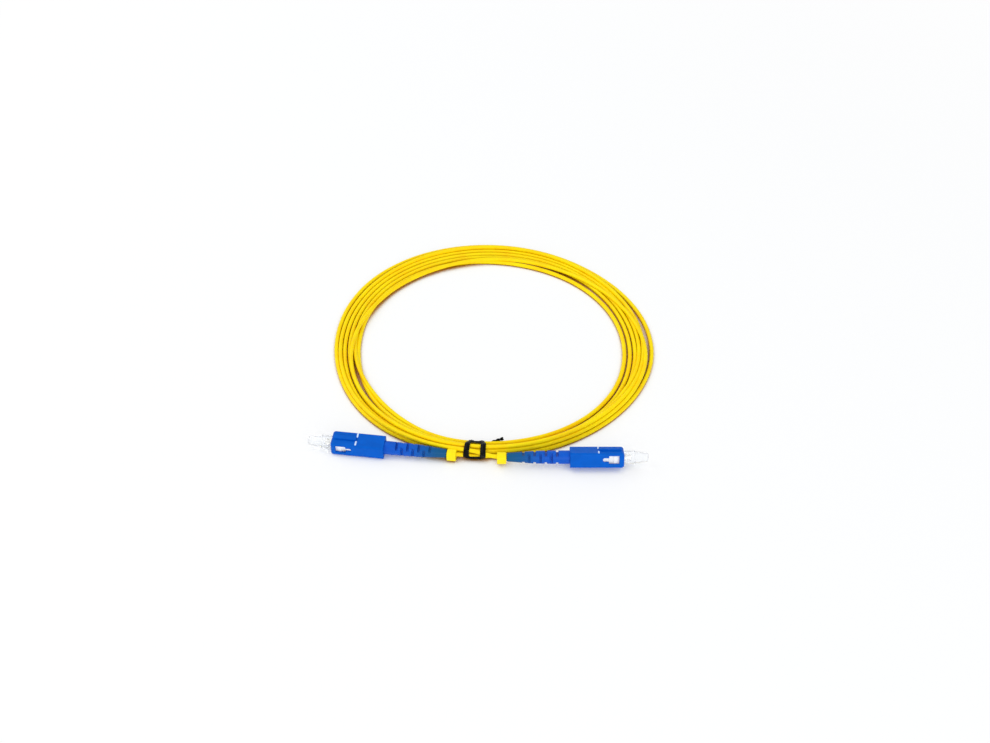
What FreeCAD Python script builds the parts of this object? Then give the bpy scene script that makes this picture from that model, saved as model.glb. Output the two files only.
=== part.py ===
import FreeCAD, Part
import math
import os
import Sketcher
from FreeCAD import Placement, Rotation, Vector

# Driving dimensions, in millimetres and degrees. Distances along a connector are measured
# from the front face of its grip towards the cord.
DRIVING = {
    # Where the two connectors lie on the floor: the middle of each grip's front face.
    "plug_a_left": 68.2,
    "plug_a_back": 5.5,
    "plug_a_turn": 7.5,
    "plug_b_right": 67.6,
    "plug_b_front": 5.2,
    "plug_b_roll": 24.0,
    # Grip: the outer housing that slides on the plug frame.
    "grip_length": 25.0,
    "grip_width": 9.0,
    "grip_height": 7.4,
    "grip_edge": 0.6,
    "grip_front_bevel": 0.8,
    "cavity_room": 0.5,
    "grip_travel": 1.8,
    "key_width": 2.2,
    "key_height": 0.8,
    "key_start": 1.2,
    "key_length": 10.6,
    "key_slope": 0.6,
    "window_start": 2.4,
    "window_length": 4.8,
    "window_height": 3.4,
    "window_rise": 0.45,
    "tail_length": 2.8,
    "tail_height": 2.0,
    "tail_corner": 0.5,
    # Plug frame: the inner plug body with the latch shoulders.
    "frame_start": 0.4,
    "frame_length": 20.1,
    "frame_width": 7.1,
    "frame_height": 5.6,
    "frame_bevel": 0.35,
    "latch_depth": 0.65,
    "latch_start": 1.0,
    "latch_length": 3.9,
    "latch_gap": 2.3,
    "latch_slope": 0.5,
    "front_bore": 5.0,
    "front_bore_depth": 3.4,
    "partition_wall": 0.8,
    "partition_hole": 3.2,
    "rear_bore": 4.8,
    "lug_start": 16.0,
    "lug_length": 1.5,
    "lug_width": 2.0,
    "lug_height": 0.35,
    # Clearances between pieces that slide in each other, on each side.
    "running_gap": 0.1,
    "cap_gap": 0.04,
    # Ferrule, its metal flange, the fibre in them and the spring behind.
    "ferrule_diameter": 2.5,
    "ferrule_length": 10.5,
    "ferrule_reach": 3.2,
    "ferrule_bevel": 0.35,
    "flange_diameter": 4.6,
    "flange_length": 3.2,
    "flange_collar": 1.0,
    "flange_notch": 0.35,
    "flange_tube": 2.4,
    "flange_tube_room": 0.3,
    "fibre_diameter": 0.125,
    "fibre_gap": 0.001,
    "buffer_diameter": 0.9,
    "buffer_reach": 2.9,
    "buffer_gap": 0.05,
    "spring_wire": 0.4,
    "spring_mean": 3.7,
    # Rear body: stop of the spring, with the collar and the crimp tube.
    "nose_length": 4.2,
    "nose_bore": 2.9,
    "nose_bore_depth": 2.4,
    "collar_diameter": 5.6,
    "collar_length": 1.2,
    "crimp_tube": 3.2,
    "crimp_tube_length": 5.9,
    "crimp_tube_bore": 1.6,
    "barb_back": 1.9,
    "barb_length": 1.0,
    "barb_height": 2.0,
    "barb_reach": 3.2,
    # Yarn and the crimp sleeve over it.
    "yarn_thickness": 0.15,
    "sleeve_gap": 0.5,
    "sleeve_wall": 0.4,
    "sleeve_neck": 1.8,
    # Boot: a straight front, a slotted stretch that narrows a little, and a smooth tip.
    "boot_gap": 0.2,
    "boot_length": 32.3,
    "boot_diameter": 6.3,
    "boot_waist": 5.8,
    "boot_tip": 3.9,
    "boot_straight": 6.6,
    "boot_slotted": 13.4,
    "slot_offset": 8.4,
    "slot_pitch": 2.6,
    "slot_width": 1.2,
    "slot_web": 2.9,
    "slot_count": 3,
    # Dust cap.
    "cap_root": 0.1,
    "cap_skirt": 4.7,
    "cap_skirt_length": 3.2,
    "cap_collar": 6.4,
    "cap_collar_length": 5.2,
    "cap_nose": 5.4,
    "cap_nose_end": 4.5,
    "cap_length": 11.4,
    "cap_nose_round": 0.9,
    "cap_end_gap": 0.3,
    # Marker ring.
    "marker_length": 4.3,
    "marker_width": 4.9,
    "marker_height": 5.1,
    "marker_corner": 1.8,
    "marker_bore": 3.5,
    "marker_offset": 2.35,
    # Cord: jacket, leads and the wound ring.
    "cord_diameter": 2.0,
    "jacket_hollow": 1.1,
    "hollow_room": 2.5,
    "ring_x": 5.95,
    "ring_y": 71.95,
    "ring_radius": 65.4,
    "turns": 7,
    "start_turn": 0.00536,
    "end_turn": 6.95,
    "pitch_tie": 2.47,
    "pitch_far": 1.05,
    "pitch_side": 1.09,
    "pitch_right": 0.5,
    "layer_step": 2.47,
    "floor_gap": 0.06,
    "tie_lift": 1.08,
    "lead_run": 3.4,
    "last_run": 4.4,
    "coil_run": 5.4,
    # Twist tie round the bundle.
    "tie_angle": 6.2,
    "tie_inner": 64.0,
    "tie_outer": 75.4,
    "tie_floor": 0.85,
    "tie_roof": 5.75,
    "tie_thickness": 0.8,
    "tie_width": 2.6,
    "tie_spread": 7.6,
    "tie_corner": 0.7,
    "twist_wire": 1.3,
    "twist_length": 8.6,
    "twist_rise": 1.2,
}

# The hand-laid points of the two leads between their ends.
LEAD_A_POINTS = [(-6.7, -1.2, 2.85), (-2.3, -0.85, 2.1)]
LEAD_B_POINTS = [(-8.6, 1.15, 4.55), (-2.6, -0.2, 4.5), (3.6, -1.3, 4.5)]

# Steps by which the least gap of the coil to itself is measured.
GAP_STEPS = 24
# Sides of the faceted sections that stand for the round cord, the boot and the inner parts.
CORD_SIDES = 5
BOOT_SIDES = 20
INNER_SIDES = 12
FIBRE_SIDES = 8
# How far a cut runs past the face that it opens.
CUT_PAST = 1.0
# A tube's arc uses this share of the shorter run beside it.
ARC_SHARE = 0.45


class Size:
    """A length with its value and the formula that binds it to the sheet."""

    def __init__(self, value, formula):
        self.value = value
        self.formula = formula

    def __add__(self, other):
        other = sized(other)
        return Size(self.value + other.value, "(%s + %s)" % (self.formula, other.formula))

    def __sub__(self, other):
        other = sized(other)
        return Size(self.value - other.value, "(%s - %s)" % (self.formula, other.formula))

    def __mul__(self, factor):
        return Size(self.value * factor, "%s * (%s)" % (self.formula, factor))

    def __truediv__(self, divisor):
        return Size(self.value / divisor, "%s / %s" % (self.formula, divisor))

    def __neg__(self):
        return Size(-self.value, "-%s" % self.formula)


def sized(item):
    """A plain number as a Size."""
    if isinstance(item, Size):
        return item
    return Size(float(item), "%s" % item)


class Sizes:
    """The sheet's cells by alias, each as a Size."""

    def __init__(self, sheet):
        self.sheet = sheet

    def __getattr__(self, alias):
        return Size(float(self.sheet.get(alias)), "Sizes.%s" % alias)


def new_sheet(doc):
    sheet = doc.addObject("Spreadsheet::Sheet", "Sizes")
    for row, (alias, value) in enumerate(DRIVING.items(), start=1):
        sheet.set("A%d" % row, alias)
        sheet.set("B%d" % row, str(value))
        sheet.setAlias("B%d" % row, alias)
    doc.recompute()
    return sheet


def new_body(doc, label, placement):
    body = doc.addObject("PartDesign::Body", label)
    body.Label = label
    body.Placement = placement
    return body


def outline(body, name, plane, loops, lift=None):
    """A sketch of closed loops with straight sides, every corner bound to its formulas.

    The lift moves it off its plane.
    """
    sketch = body.newObject("Sketcher::SketchObject", name)
    support = next(item for item in body.Origin.OriginFeatures if item.Role == plane)
    sketch.AttachmentSupport = (support, [""])
    sketch.MapMode = "FlatFace"
    if lift is not None:
        sketch.AttachmentOffset = Placement(Vector(0, 0, lift.value), Rotation())
        sketch.setExpression(".AttachmentOffset.Base.z", lift.formula)
    first = 0
    for loop in loops:
        corners = [(sized(across), sized(up)) for across, up in loop]
        points = [Vector(across.value, up.value, 0) for across, up in corners]
        for start, end in zip(points, points[1:] + points[:1]):
            sketch.addGeometry(Part.LineSegment(start, end), False)
        count = len(points)
        for side in range(count):
            following = first + (side + 1) % count
            sketch.addConstraint(Sketcher.Constraint("Coincident", first + side, 2, following, 1))
        for side, corner in enumerate(corners):
            for kind, size in zip(("DistanceX", "DistanceY"), corner):
                pin = Sketcher.Constraint(kind, -1, 1, first + side, 1, size.value)
                number = sketch.addConstraint(pin)
                sketch.setExpression("Constraints[%d]" % number, size.formula)
        first += count
    return sketch


def pad(body, name, plane, length, loops, symmetric=False, lift=None):
    feature = body.newObject("PartDesign::Pad", name)
    feature.Profile = outline(body, name + "_outline", plane, loops, lift)
    feature.SideType = "Symmetric" if symmetric else "One side"
    feature.Length = length.value
    feature.setExpression("Length", length.formula)
    return feature


def pocket(body, name, plane, length, loops, symmetric=False, lift=None):
    """A pocket that is cut to both sides of its plane, or along the plane's normal."""
    feature = body.newObject("PartDesign::Pocket", name)
    feature.Profile = outline(body, name + "_outline", plane, loops, lift)
    feature.SideType = "Symmetric" if symmetric else "One side"
    feature.Reversed = not symmetric
    feature.Length = length.value
    feature.setExpression("Length", length.formula)
    return feature


def facets(radius, sides):
    """Corners of a regular outline that lies inside a circle, with a side at the bottom."""
    turn = 2 * math.pi / sides
    first = turn / 2 - math.pi / 2
    return [(radius * math.cos(first + turn * number), radius * math.sin(first + turn * number))
            for number in range(sides)]


def wrapped(radius, sides):
    """Corners of a regular outline whose sides touch a circle."""
    return facets(radius / math.cos(math.pi / sides), sides)


def rod(body, name, start, end, corners):
    """A faceted rod along the connector between two distances."""
    return pad(body, name, "YZ_Plane", end - start, [corners], lift=start)


def shaft(body, name, start, end, corners):
    """A faceted hole along the connector between two distances."""
    return pocket(body, name, "YZ_Plane", end - start, [corners], lift=start)


def turned(body, name, loop):
    """A profile of distance and radius, turned about the connector's axis."""
    feature = body.newObject("PartDesign::Revolution", name)
    profile = outline(body, name + "_profile", "XZ_Plane", [loop])
    feature.Profile = profile
    feature.ReferenceAxis = (profile, ["H_Axis"])
    feature.Angle = 360
    return feature


def bored(body, name, loop):
    """A turned cut about the connector's axis."""
    feature = body.newObject("PartDesign::Groove", name)
    profile = outline(body, name + "_profile", "XZ_Plane", [loop])
    feature.Profile = profile
    feature.ReferenceAxis = (profile, ["H_Axis"])
    feature.Angle = 360
    return feature


def dress(body, kind, name, prop, size, wanted):
    """A fillet or chamfer on the edges of the body that the test picks."""
    body.Document.recompute()
    base = body.Tip
    edges = ["Edge%d" % number for number, edge in enumerate(base.Shape.Edges, start=1)
             if wanted(edge)]
    feature = body.newObject("PartDesign::" + kind, name)
    feature.Base = (base, edges)
    setattr(feature, prop, size.value)
    feature.setExpression(prop, size.formula)
    return feature


def runs_along(edge):
    """Whether a straight edge runs along the connector."""
    box = edge.BoundBox
    return box.XLength > 0.5 and box.YLength < 1e-6 and box.ZLength < 1e-6


def rectangle(low_x, high_x, low_y, high_y):
    return [(low_x, low_y), (high_x, low_y), (high_x, high_y), (low_x, high_y)]


def frame_end(s):
    """Back face of the plug frame, against the collar of the rear body."""
    return s.frame_start + s.frame_length


def collar_end(s):
    return frame_end(s) + s.collar_length


def tube_end(s):
    """Back end of the crimp tube."""
    return collar_end(s) + s.crimp_tube_length


def boot_start(s):
    return collar_end(s) + s.boot_gap


def boot_end(s):
    return boot_start(s) + s.boot_length


def outer_housing(doc, s, label, placement):
    body = new_body(doc, label, placement)
    side = s.grip_width / 2
    top = s.grip_height / 2
    edge = s.grip_edge
    section = [(edge - side, -top), (side - edge, -top), (side, edge - top), (side, top - edge),
               (side - edge, top), (edge - side, top), (-side, top - edge), (-side, edge - top)]
    pad(body, "shell", "YZ_Plane", s.grip_length, [section])
    dress(body, "Chamfer", "front_bevel", "Size", s.grip_front_bevel,
          lambda side: side.BoundBox.XMax < 1e-6)
    key_end = s.key_start + s.key_length
    key_top = top + s.key_height
    key = [(s.key_start, 0), (key_end, 0), (key_end, top), (key_end - s.key_slope, key_top),
           (s.key_start + s.key_slope, key_top), (s.key_start, top)]
    pad(body, "key", "XZ_Plane", s.key_width, [key], symmetric=True)
    cavity_side = s.frame_width / 2 + s.running_gap
    cavity_top = s.frame_height / 2 + s.running_gap
    cavity_end = frame_end(s) + s.cavity_room
    pocket(body, "cavity", "YZ_Plane", cavity_end,
           [rectangle(-cavity_side, cavity_side, -cavity_top, cavity_top)])
    rear_radius = s.boot_diameter / 2 + s.running_gap
    opening_start = boot_start(s) - s.grip_travel - s.running_gap
    bored(body, "rear_opening",
          rectangle(opening_start, s.grip_length + CUT_PAST, 0, rear_radius))
    low = s.window_rise - s.window_height / 2
    high = s.window_rise + s.window_height / 2
    tail_low = s.window_rise - s.tail_height / 2
    tail_high = s.window_rise + s.tail_height / 2
    middle = s.window_start + s.window_length
    end = middle + s.tail_length
    corner = s.tail_corner
    window = [(s.window_start, low), (middle, low), (middle, tail_low),
              (end - corner, tail_low), (end, tail_low + corner),
              (end, tail_high - corner), (end - corner, tail_high),
              (middle, tail_high), (middle, high), (s.window_start, high)]
    pocket(body, "windows", "XZ_Plane", s.grip_width * 2, [window], symmetric=True)
    groove_front = s.lug_start - s.grip_travel - s.running_gap
    groove_back = s.lug_start + s.lug_length + s.running_gap
    groove_side = s.lug_width / 2 + s.running_gap
    groove_top = s.frame_height / 2 + s.lug_height + s.running_gap
    pocket(body, "lug_groove", "XY_Plane", groove_top,
           [rectangle(groove_front, groove_back, -groove_side, groove_side)])
    return body


def plug_frame(doc, s, label, placement):
    body = new_body(doc, label, placement)
    wide = s.frame_width / 2
    narrow = wide - s.latch_depth
    end = frame_end(s)
    shoulder = s.latch_start + s.latch_length
    recess_end = shoulder + s.latch_gap
    side = [(s.frame_start, narrow), (s.latch_start, narrow), (shoulder, wide),
            (shoulder, narrow), (recess_end, narrow), (recess_end + s.latch_slope, wide),
            (end, wide)]
    other = [(along, -out) for along, out in reversed(side)]
    pad(body, "block", "XY_Plane", s.frame_height, [side + other], symmetric=True)
    dress(body, "Chamfer", "front_bevel", "Size", s.frame_bevel,
          lambda edge: edge.BoundBox.XMax < s.frame_start.value + 1e-6)
    pad(body, "stop_lug", "XY_Plane", s.frame_height / 2 + s.lug_height,
        [rectangle(s.lug_start, s.lug_start + s.lug_length, -s.lug_width / 2, s.lug_width / 2)])
    partition = s.frame_start + s.front_bore_depth
    shaft(body, "front_bore", s.frame_start, partition, facets(s.front_bore / 2, BOOT_SIDES))
    shaft(body, "partition_hole", partition, flange_seat(s),
          facets(s.partition_hole / 2, INNER_SIDES))
    shaft(body, "rear_bore", flange_seat(s), end, facets(s.rear_bore / 2, BOOT_SIDES))
    slot_start = barb_start(s) - s.running_gap
    slot_end = barb_start(s) + s.barb_length + s.running_gap
    slot_top = s.barb_height / 2 + s.running_gap
    pocket(body, "barb_slots", "XZ_Plane", s.frame_width * 2,
           [rectangle(slot_start, slot_end, -slot_top, slot_top)], symmetric=True)
    return body


def barb_start(s):
    return frame_end(s) - s.barb_back


def ferrule_back(s):
    return s.ferrule_length - s.ferrule_reach


def buffer_end(s):
    """Where the coloured buffer ends inside the jacket."""
    return tube_end(s) + s.buffer_reach


def ferrule(doc, s, label, placement):
    body = new_body(doc, label, placement)
    bore = s.fibre_diameter / 2 + s.fibre_gap
    outer = s.ferrule_diameter / 2
    tip = -s.ferrule_reach
    back = ferrule_back(s)
    turned(body, "ceramic", [(tip, bore), (tip, outer - s.ferrule_bevel),
                             (tip + s.ferrule_bevel, outer), (back, outer), (back, bore)])
    return body


def flange_seat(s):
    """Where the flange rests on the partition of the plug frame."""
    return s.frame_start + s.front_bore_depth + s.partition_wall


def ferrule_flange(doc, s, label, placement):
    body = new_body(doc, label, placement)
    front = flange_seat(s)
    head_end = front + s.flange_length
    tail_end = nose_front(s) - s.flange_tube_room
    head = s.flange_diameter / 2
    bore = s.buffer_diameter / 2 + s.buffer_gap
    rod(body, "head", front, head_end, facets(head, INNER_SIDES))
    rod(body, "tail", head_end, tail_end, facets(s.flange_tube / 2, INNER_SIDES))
    shaft(body, "socket", front, ferrule_back(s), wrapped(s.ferrule_diameter / 2, INNER_SIDES))
    shaft(body, "bore", ferrule_back(s), tail_end, facets(bore, INNER_SIDES))
    floor = head - s.flange_notch
    rim = head + CUT_PAST
    notch_start = front - CUT_PAST
    notch_end = head_end - s.flange_collar
    pocket(body, "tuning_notches", "XY_Plane", s.flange_diameter,
           [rectangle(notch_start, notch_end, floor, rim),
            rectangle(notch_start, notch_end, -rim, -floor)], symmetric=True)
    return body


def nose_front(s):
    """Front face of the rear body, where the spring stands."""
    return frame_end(s) - s.nose_length


def spring(doc, s, label, placement):
    """The closed sleeve that the spring's turns fill."""
    body = new_body(doc, label, placement)
    start = flange_seat(s) + s.flange_length
    inner = s.spring_mean / 2 - s.spring_wire / 2
    outer = s.spring_mean / 2 + s.spring_wire / 2
    rod(body, "sleeve", start, nose_front(s), facets(outer, INNER_SIDES))
    shaft(body, "middle", start, nose_front(s), wrapped(inner, INNER_SIDES))
    return body


def rear_body(doc, s, label, placement):
    body = new_body(doc, label, placement)
    front = nose_front(s)
    nose = s.rear_bore / 2 - s.running_gap / 2
    rod(body, "nose", front, frame_end(s), facets(nose, BOOT_SIDES))
    rod(body, "collar", frame_end(s), collar_end(s), facets(s.collar_diameter / 2, BOOT_SIDES))
    rod(body, "crimp_tube", collar_end(s), tube_end(s), wrapped(s.crimp_tube / 2, INNER_SIDES))
    step = front + s.nose_bore_depth
    wide_bore = s.nose_bore / 2
    shaft(body, "nose_bore", front, step, facets(wide_bore, INNER_SIDES))
    shaft(body, "tube_bore", step, tube_end(s), facets(s.crimp_tube_bore / 2, INNER_SIDES))
    start = barb_start(s)
    end = start + s.barb_length
    root = wide_bore + (nose - wide_bore) / 2
    barb = [(start, root), (end, root), (end, s.barb_reach), (start, nose)]
    other = [(along, -out) for along, out in reversed(barb)]
    pad(body, "barbs", "XY_Plane", s.barb_height, [barb, other], symmetric=True)
    return body


def sleeve_start(s):
    return collar_end(s) + s.sleeve_gap


def sleeve_inner(s):
    return s.crimp_tube / 2 + s.yarn_thickness


def neck_start(s):
    """Where the sleeve's end wall turns into its neck on the jacket."""
    return tube_end(s) + s.sleeve_wall


def yarn(doc, s, label, placement):
    body = new_body(doc, label, placement)
    rod(body, "fibres", sleeve_start(s), tube_end(s), wrapped(sleeve_inner(s), INNER_SIDES))
    shaft(body, "middle", sleeve_start(s), tube_end(s), wrapped(s.crimp_tube / 2, INNER_SIDES))
    return body


def crimp_sleeve(doc, s, label, placement):
    body = new_body(doc, label, placement)
    start = sleeve_start(s)
    jacket = s.cord_diameter / 2
    outer = sleeve_inner(s) + s.sleeve_wall
    end = neck_start(s) + s.sleeve_neck
    rod(body, "metal", start, neck_start(s), wrapped(outer, INNER_SIDES))
    rod(body, "neck", neck_start(s), end, wrapped(jacket + s.sleeve_wall, INNER_SIDES))
    shaft(body, "yarn_bore", start, tube_end(s), wrapped(sleeve_inner(s), INNER_SIDES))
    shaft(body, "jacket_bore", tube_end(s), end, wrapped(jacket, INNER_SIDES))
    return body


def boot(doc, s, label, placement):
    body = new_body(doc, label, placement)
    start = boot_start(s)
    taper = start + s.boot_straight
    waist = taper + s.boot_slotted
    rod(body, "front", start, taper, facets(s.boot_diameter / 2, BOOT_SIDES))
    sections = [outline(body, "section_%d" % number, "YZ_Plane",
                        [facets(diameter / 2, BOOT_SIDES)], lift=at)
                for number, (at, diameter) in enumerate([
                    (taper, s.boot_diameter), (waist, s.boot_waist), (boot_end(s), s.boot_tip)])]
    taper_loft = body.newObject("PartDesign::AdditiveLoft", "taper")
    taper_loft.Profile = sections[0]
    taper_loft.Sections = sections[1:]
    taper_loft.Ruled = True
    neck_end = neck_start(s) + s.sleeve_neck
    jacket = s.cord_diameter / 2
    outer = sleeve_inner(s) + s.sleeve_wall
    shaft(body, "sleeve_bore", start, neck_start(s), wrapped(outer, INNER_SIDES))
    shaft(body, "neck_bore", neck_start(s), neck_end,
          wrapped(jacket + s.sleeve_wall, INNER_SIDES))
    shaft(body, "jacket_bore", neck_end, boot_end(s), wrapped(jacket, INNER_SIDES))
    web = s.slot_web / 2
    rim = s.boot_diameter / 2 + CUT_PAST
    pitch = s.slot_pitch
    count = int(s.slot_count.value)
    for name, plane, first, extra in (
            ("upright_slots", "XZ_Plane", start + s.slot_offset, 1),
            ("side_slots", "XY_Plane", start + s.slot_offset + pitch, 0)):
        last = first + s.slot_width
        cut = pocket(body, name, plane, s.boot_diameter * 2,
                     [rectangle(first, last, web, rim), rectangle(first, last, -rim, -web)],
                     symmetric=True)
        body.Document.recompute()
        row = body.newObject("PartDesign::LinearPattern", name + "_row")
        row.Originals = [cut]
        row.Direction = (cut.Profile[0], ["H_Axis"])
        row.Occurrences = count + extra
        spread = pitch * 2 * (count + extra - 1)
        row.Length = spread.value
        row.setExpression("Length", spread.formula)
        body.Tip = row
    return body


def dust_cap(doc, s, label, placement):
    body = new_body(doc, label, placement)
    bore = s.ferrule_diameter / 2 + s.cap_gap
    skirt_end = s.cap_skirt_length
    root = -s.cap_root
    step = root - s.cap_collar_length
    end = -s.cap_length
    bottom = -s.ferrule_reach - s.cap_end_gap
    turned(body, "shell", [(skirt_end, bore), (skirt_end, s.cap_skirt / 2),
                           (root, s.cap_skirt / 2), (root, s.cap_collar / 2),
                           (step, s.cap_collar / 2), (step, s.cap_nose / 2),
                           (end + s.cap_nose_round, s.cap_nose_end / 2),
                           (end, s.cap_nose_end / 2 - s.cap_nose_round), (end, 0),
                           (bottom, 0), (bottom, bore)])
    return body


def buffer_fibre(doc, s, label, placement):
    body = new_body(doc, label, placement)
    rod(body, "buffer", ferrule_back(s), buffer_end(s),
        facets(s.buffer_diameter / 2, INNER_SIDES))
    return body


def bare_fibre(doc, s, label, placement):
    body = new_body(doc, label, placement)
    rod(body, "glass", -s.ferrule_reach, ferrule_back(s),
        facets(s.fibre_diameter / 2, FIBRE_SIDES))
    return body


def jacket_end(doc, s, label, placement):
    body = new_body(doc, label, placement)
    start = tube_end(s) + s.running_gap
    rod(body, "jacket", start, boot_end(s), facets(s.cord_diameter / 2, INNER_SIDES))
    shaft(body, "hollow", start, buffer_end(s) + s.hollow_room,
          facets(s.jacket_hollow / 2, INNER_SIDES))
    return body


def marker(doc, s, label, placement):
    body = new_body(doc, label, placement)
    side = s.marker_width / 2
    top = s.marker_height / 2
    pad(body, "block", "YZ_Plane", s.marker_length, [rectangle(-side, side, -top, top)],
        symmetric=True)
    dress(body, "Fillet", "corners", "Radius", s.marker_corner, runs_along)
    bored(body, "bore", rectangle(-s.marker_length, s.marker_length, 0, s.marker_bore / 2))
    return body


CONNECTOR_PIECES = [outer_housing, plug_frame, ferrule, ferrule_flange, spring, rear_body,
                    yarn, crimp_sleeve, boot, dust_cap, buffer_fibre, bare_fibre, jacket_end]


def arc_between(start, corner, end):
    """Arc from start to end whose end tangents meet at the corner."""
    middle = (start + end) * 0.5
    half_chord = (end - start).Length / 2
    to_corner = corner - middle
    height = to_corner.Length
    if height < 1e-9:
        return Part.LineSegment(start, end).toShape()
    radius = half_chord * (corner - start).Length / height
    rise = radius - math.sqrt(max(radius * radius - half_chord * half_chord, 0))
    return Part.Arc(start, middle + to_corner * (rise / height), end).toShape()


def biarc(start, start_tangent, end, end_tangent):
    """Two arcs that leave start and reach end along the given unit tangents."""
    across = end - start
    both = start_tangent + end_tangent
    square = 4 - both.dot(both)
    linear = 2 * across.dot(both)
    reach = -linear + math.sqrt(linear * linear + 4 * square * across.dot(across))
    reach = reach / (2 * square)
    first = start + start_tangent * reach
    last = end - end_tangent * reach
    joint = (first + last) * 0.5
    return [arc_between(start, first, joint), arc_between(joint, last, end)]


def polygon_wire(centre, along, up, radius, sides):
    """A regular polygon square to a direction, with a flat at the bottom."""
    across = along.cross(up).normalize()
    upright = across.cross(along).normalize()
    turn = 2 * math.pi / sides
    first = turn / 2 - math.pi / 2
    corners = [centre + across * (radius * math.cos(first + turn * number))
               + upright * (radius * math.sin(first + turn * number))
               for number in range(sides)]
    return Part.makePolygon(corners + corners[:1])


def polygon_area(radius, sides):
    return sides / 2 * radius * radius * math.sin(2 * math.pi / sides)


def wound_tube(place, turns, radius, sides, up):
    """One unbroken tube along a formula, as biarcs between the given turns."""
    tiny = 1e-4
    points = [place(turn) for turn in turns]
    tangents = [(place(turn + tiny) - place(turn - tiny)).normalize() for turn in turns]
    edges = []
    for number in range(len(turns) - 1):
        edges += biarc(points[number], tangents[number],
                       points[number + 1], tangents[number + 1])
    path = Part.Wire(edges)
    section = polygon_wire(points[0], tangents[0], up, radius, sides)
    tube = path.makePipeShell([section], True, False)
    return tube, path, polygon_area(radius, sides)


def quarter_turns(first, last):
    """The ends of a winding and every whole quarter turn between them."""
    quarters = range(math.floor(first * 4) + 1, math.ceil(last * 4))
    return [first] + [quarter / 4 for quarter in quarters] + [last]


def coil_place(s):
    """Centre line of the wound ring as a function of the turn, zero beside the tie."""
    centre = Vector(s.ring_x.value, s.ring_y.value, 0)
    middle = s.turns.value / 2
    floor = s.cord_diameter.value / 2 * math.cos(math.pi / CORD_SIDES) + s.floor_gap.value

    def place(turn):
        angle = 2 * math.pi * turn
        near = (1 + math.cos(angle)) / 2
        pitch = (s.pitch_tie.value + s.pitch_far.value * (1 - near)
                 + s.pitch_side.value * math.sin(angle) ** 2
                 + s.pitch_right.value * math.sin(angle))
        radius = s.ring_radius.value + (abs(turn - middle) - 0.5) * pitch
        climb = min(max((turn - middle) * 2 + 0.5, 0), 1)
        lift = 0
        if math.cos(angle) > 0:
            lift = s.tie_lift.value * (1 + math.cos(2 * angle)) / 2
        height = floor + climb * s.layer_step.value + lift
        return centre + Vector(radius * math.sin(angle), -radius * math.cos(angle), height)

    return place


def least_gap(path, diameter):
    """Least gap of a wound tube to itself, measured on points of its centre line."""
    points = []
    for edge in path.Edges:
        count = GAP_STEPS
        points += [edge.valueAt(edge.FirstParameter + (edge.LastParameter - edge.FirstParameter)
                                * number / count) for number in range(count)]
    apart = 4 * diameter
    travelled = 0
    lengths = []
    for number, point in enumerate(points):
        if number:
            travelled += (point - points[number - 1]).Length
        lengths.append(travelled)
    cells = {}
    for number, point in enumerate(points):
        cells.setdefault((int(point.x // apart), int(point.y // apart)), []).append(number)
    least = apart
    for (column, row), members in cells.items():
        near = [number for shift_x in (-1, 0, 1) for shift_y in (-1, 0, 1)
                for number in cells.get((column + shift_x, row + shift_y), [])]
        for one in members:
            for other in near:
                if lengths[other] - lengths[one] > apart:
                    least = min(least, segment_gap(points, one, other))
    return least - diameter


def segment_gap(points, one, other):
    """Distance from a point to the two segments beside another point."""
    point = points[one]
    best = (points[other] - point).Length
    for start in (other - 1, other):
        if start < 0 or start + 1 >= len(points):
            continue
        along = points[start + 1] - points[start]
        share = (point - points[start]).dot(along) / along.dot(along)
        share = min(max(share, 0), 1)
        best = min(best, (points[start] + along * share - point).Length)
    return best


def laid_tube(name, points, diameter):
    """A tube along straight runs joined by tangent arcs."""
    edges = []
    start = points[0]
    radii = []
    for before, corner, after in zip(points, points[1:], points[2:]):
        back = before - corner
        ahead = after - corner
        cut = ARC_SHARE * min(back.Length, ahead.Length)
        half_turn = (math.pi - back.getAngle(ahead)) / 2
        radii.append(cut / math.tan(half_turn))
        arc_start = corner + back.normalize() * cut
        arc_end = corner + ahead.normalize() * cut
        edges.append(Part.LineSegment(start, arc_start).toShape())
        edges.append(arc_between(arc_start, corner, arc_end))
        start = arc_end
    edges.append(Part.LineSegment(start, points[-1]).toShape())
    path = Part.Wire(edges)
    direction = (points[1] - points[0]).normalize()
    section = polygon_wire(points[0], direction, Vector(0, 0, 1), diameter / 2, CORD_SIDES)
    tube = path.makePipeShell([section], True, False)
    area = polygon_area(diameter / 2, CORD_SIDES)
    print(name, "radii", ["%.1f" % radius for radius in radii])
    print(name, "length %.1f" % path.Length, "volume by length %.4f" % (tube.Volume / area
                                                                        / path.Length))
    return tube


def shaped(doc, label, shape, placement=Placement()):
    """A document object of a shape that the sheet's sizes have made."""
    item = doc.addObject("Part::Feature", label)
    item.Label = label
    item.Shape = shape
    item.Placement = placement
    return item


def cord_coil(doc, s):
    place = coil_place(s)
    turns = quarter_turns(s.start_turn.value, s.end_turn.value)
    diameter = s.cord_diameter.value
    tube, path, area = wound_tube(place, turns, diameter / 2, CORD_SIDES, Vector(0, 0, 1))
    print("cord_coil length %.1f" % path.Length,
          "volume by length %.4f" % (tube.Volume / area / path.Length),
          "least gap to itself %.3f" % least_gap(path, diameter))
    return shaped(doc, "cord_coil", tube)


def end_tangent(place, turn):
    tiny = 1e-4
    return (place(turn + tiny) - place(turn - tiny)).normalize()


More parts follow.
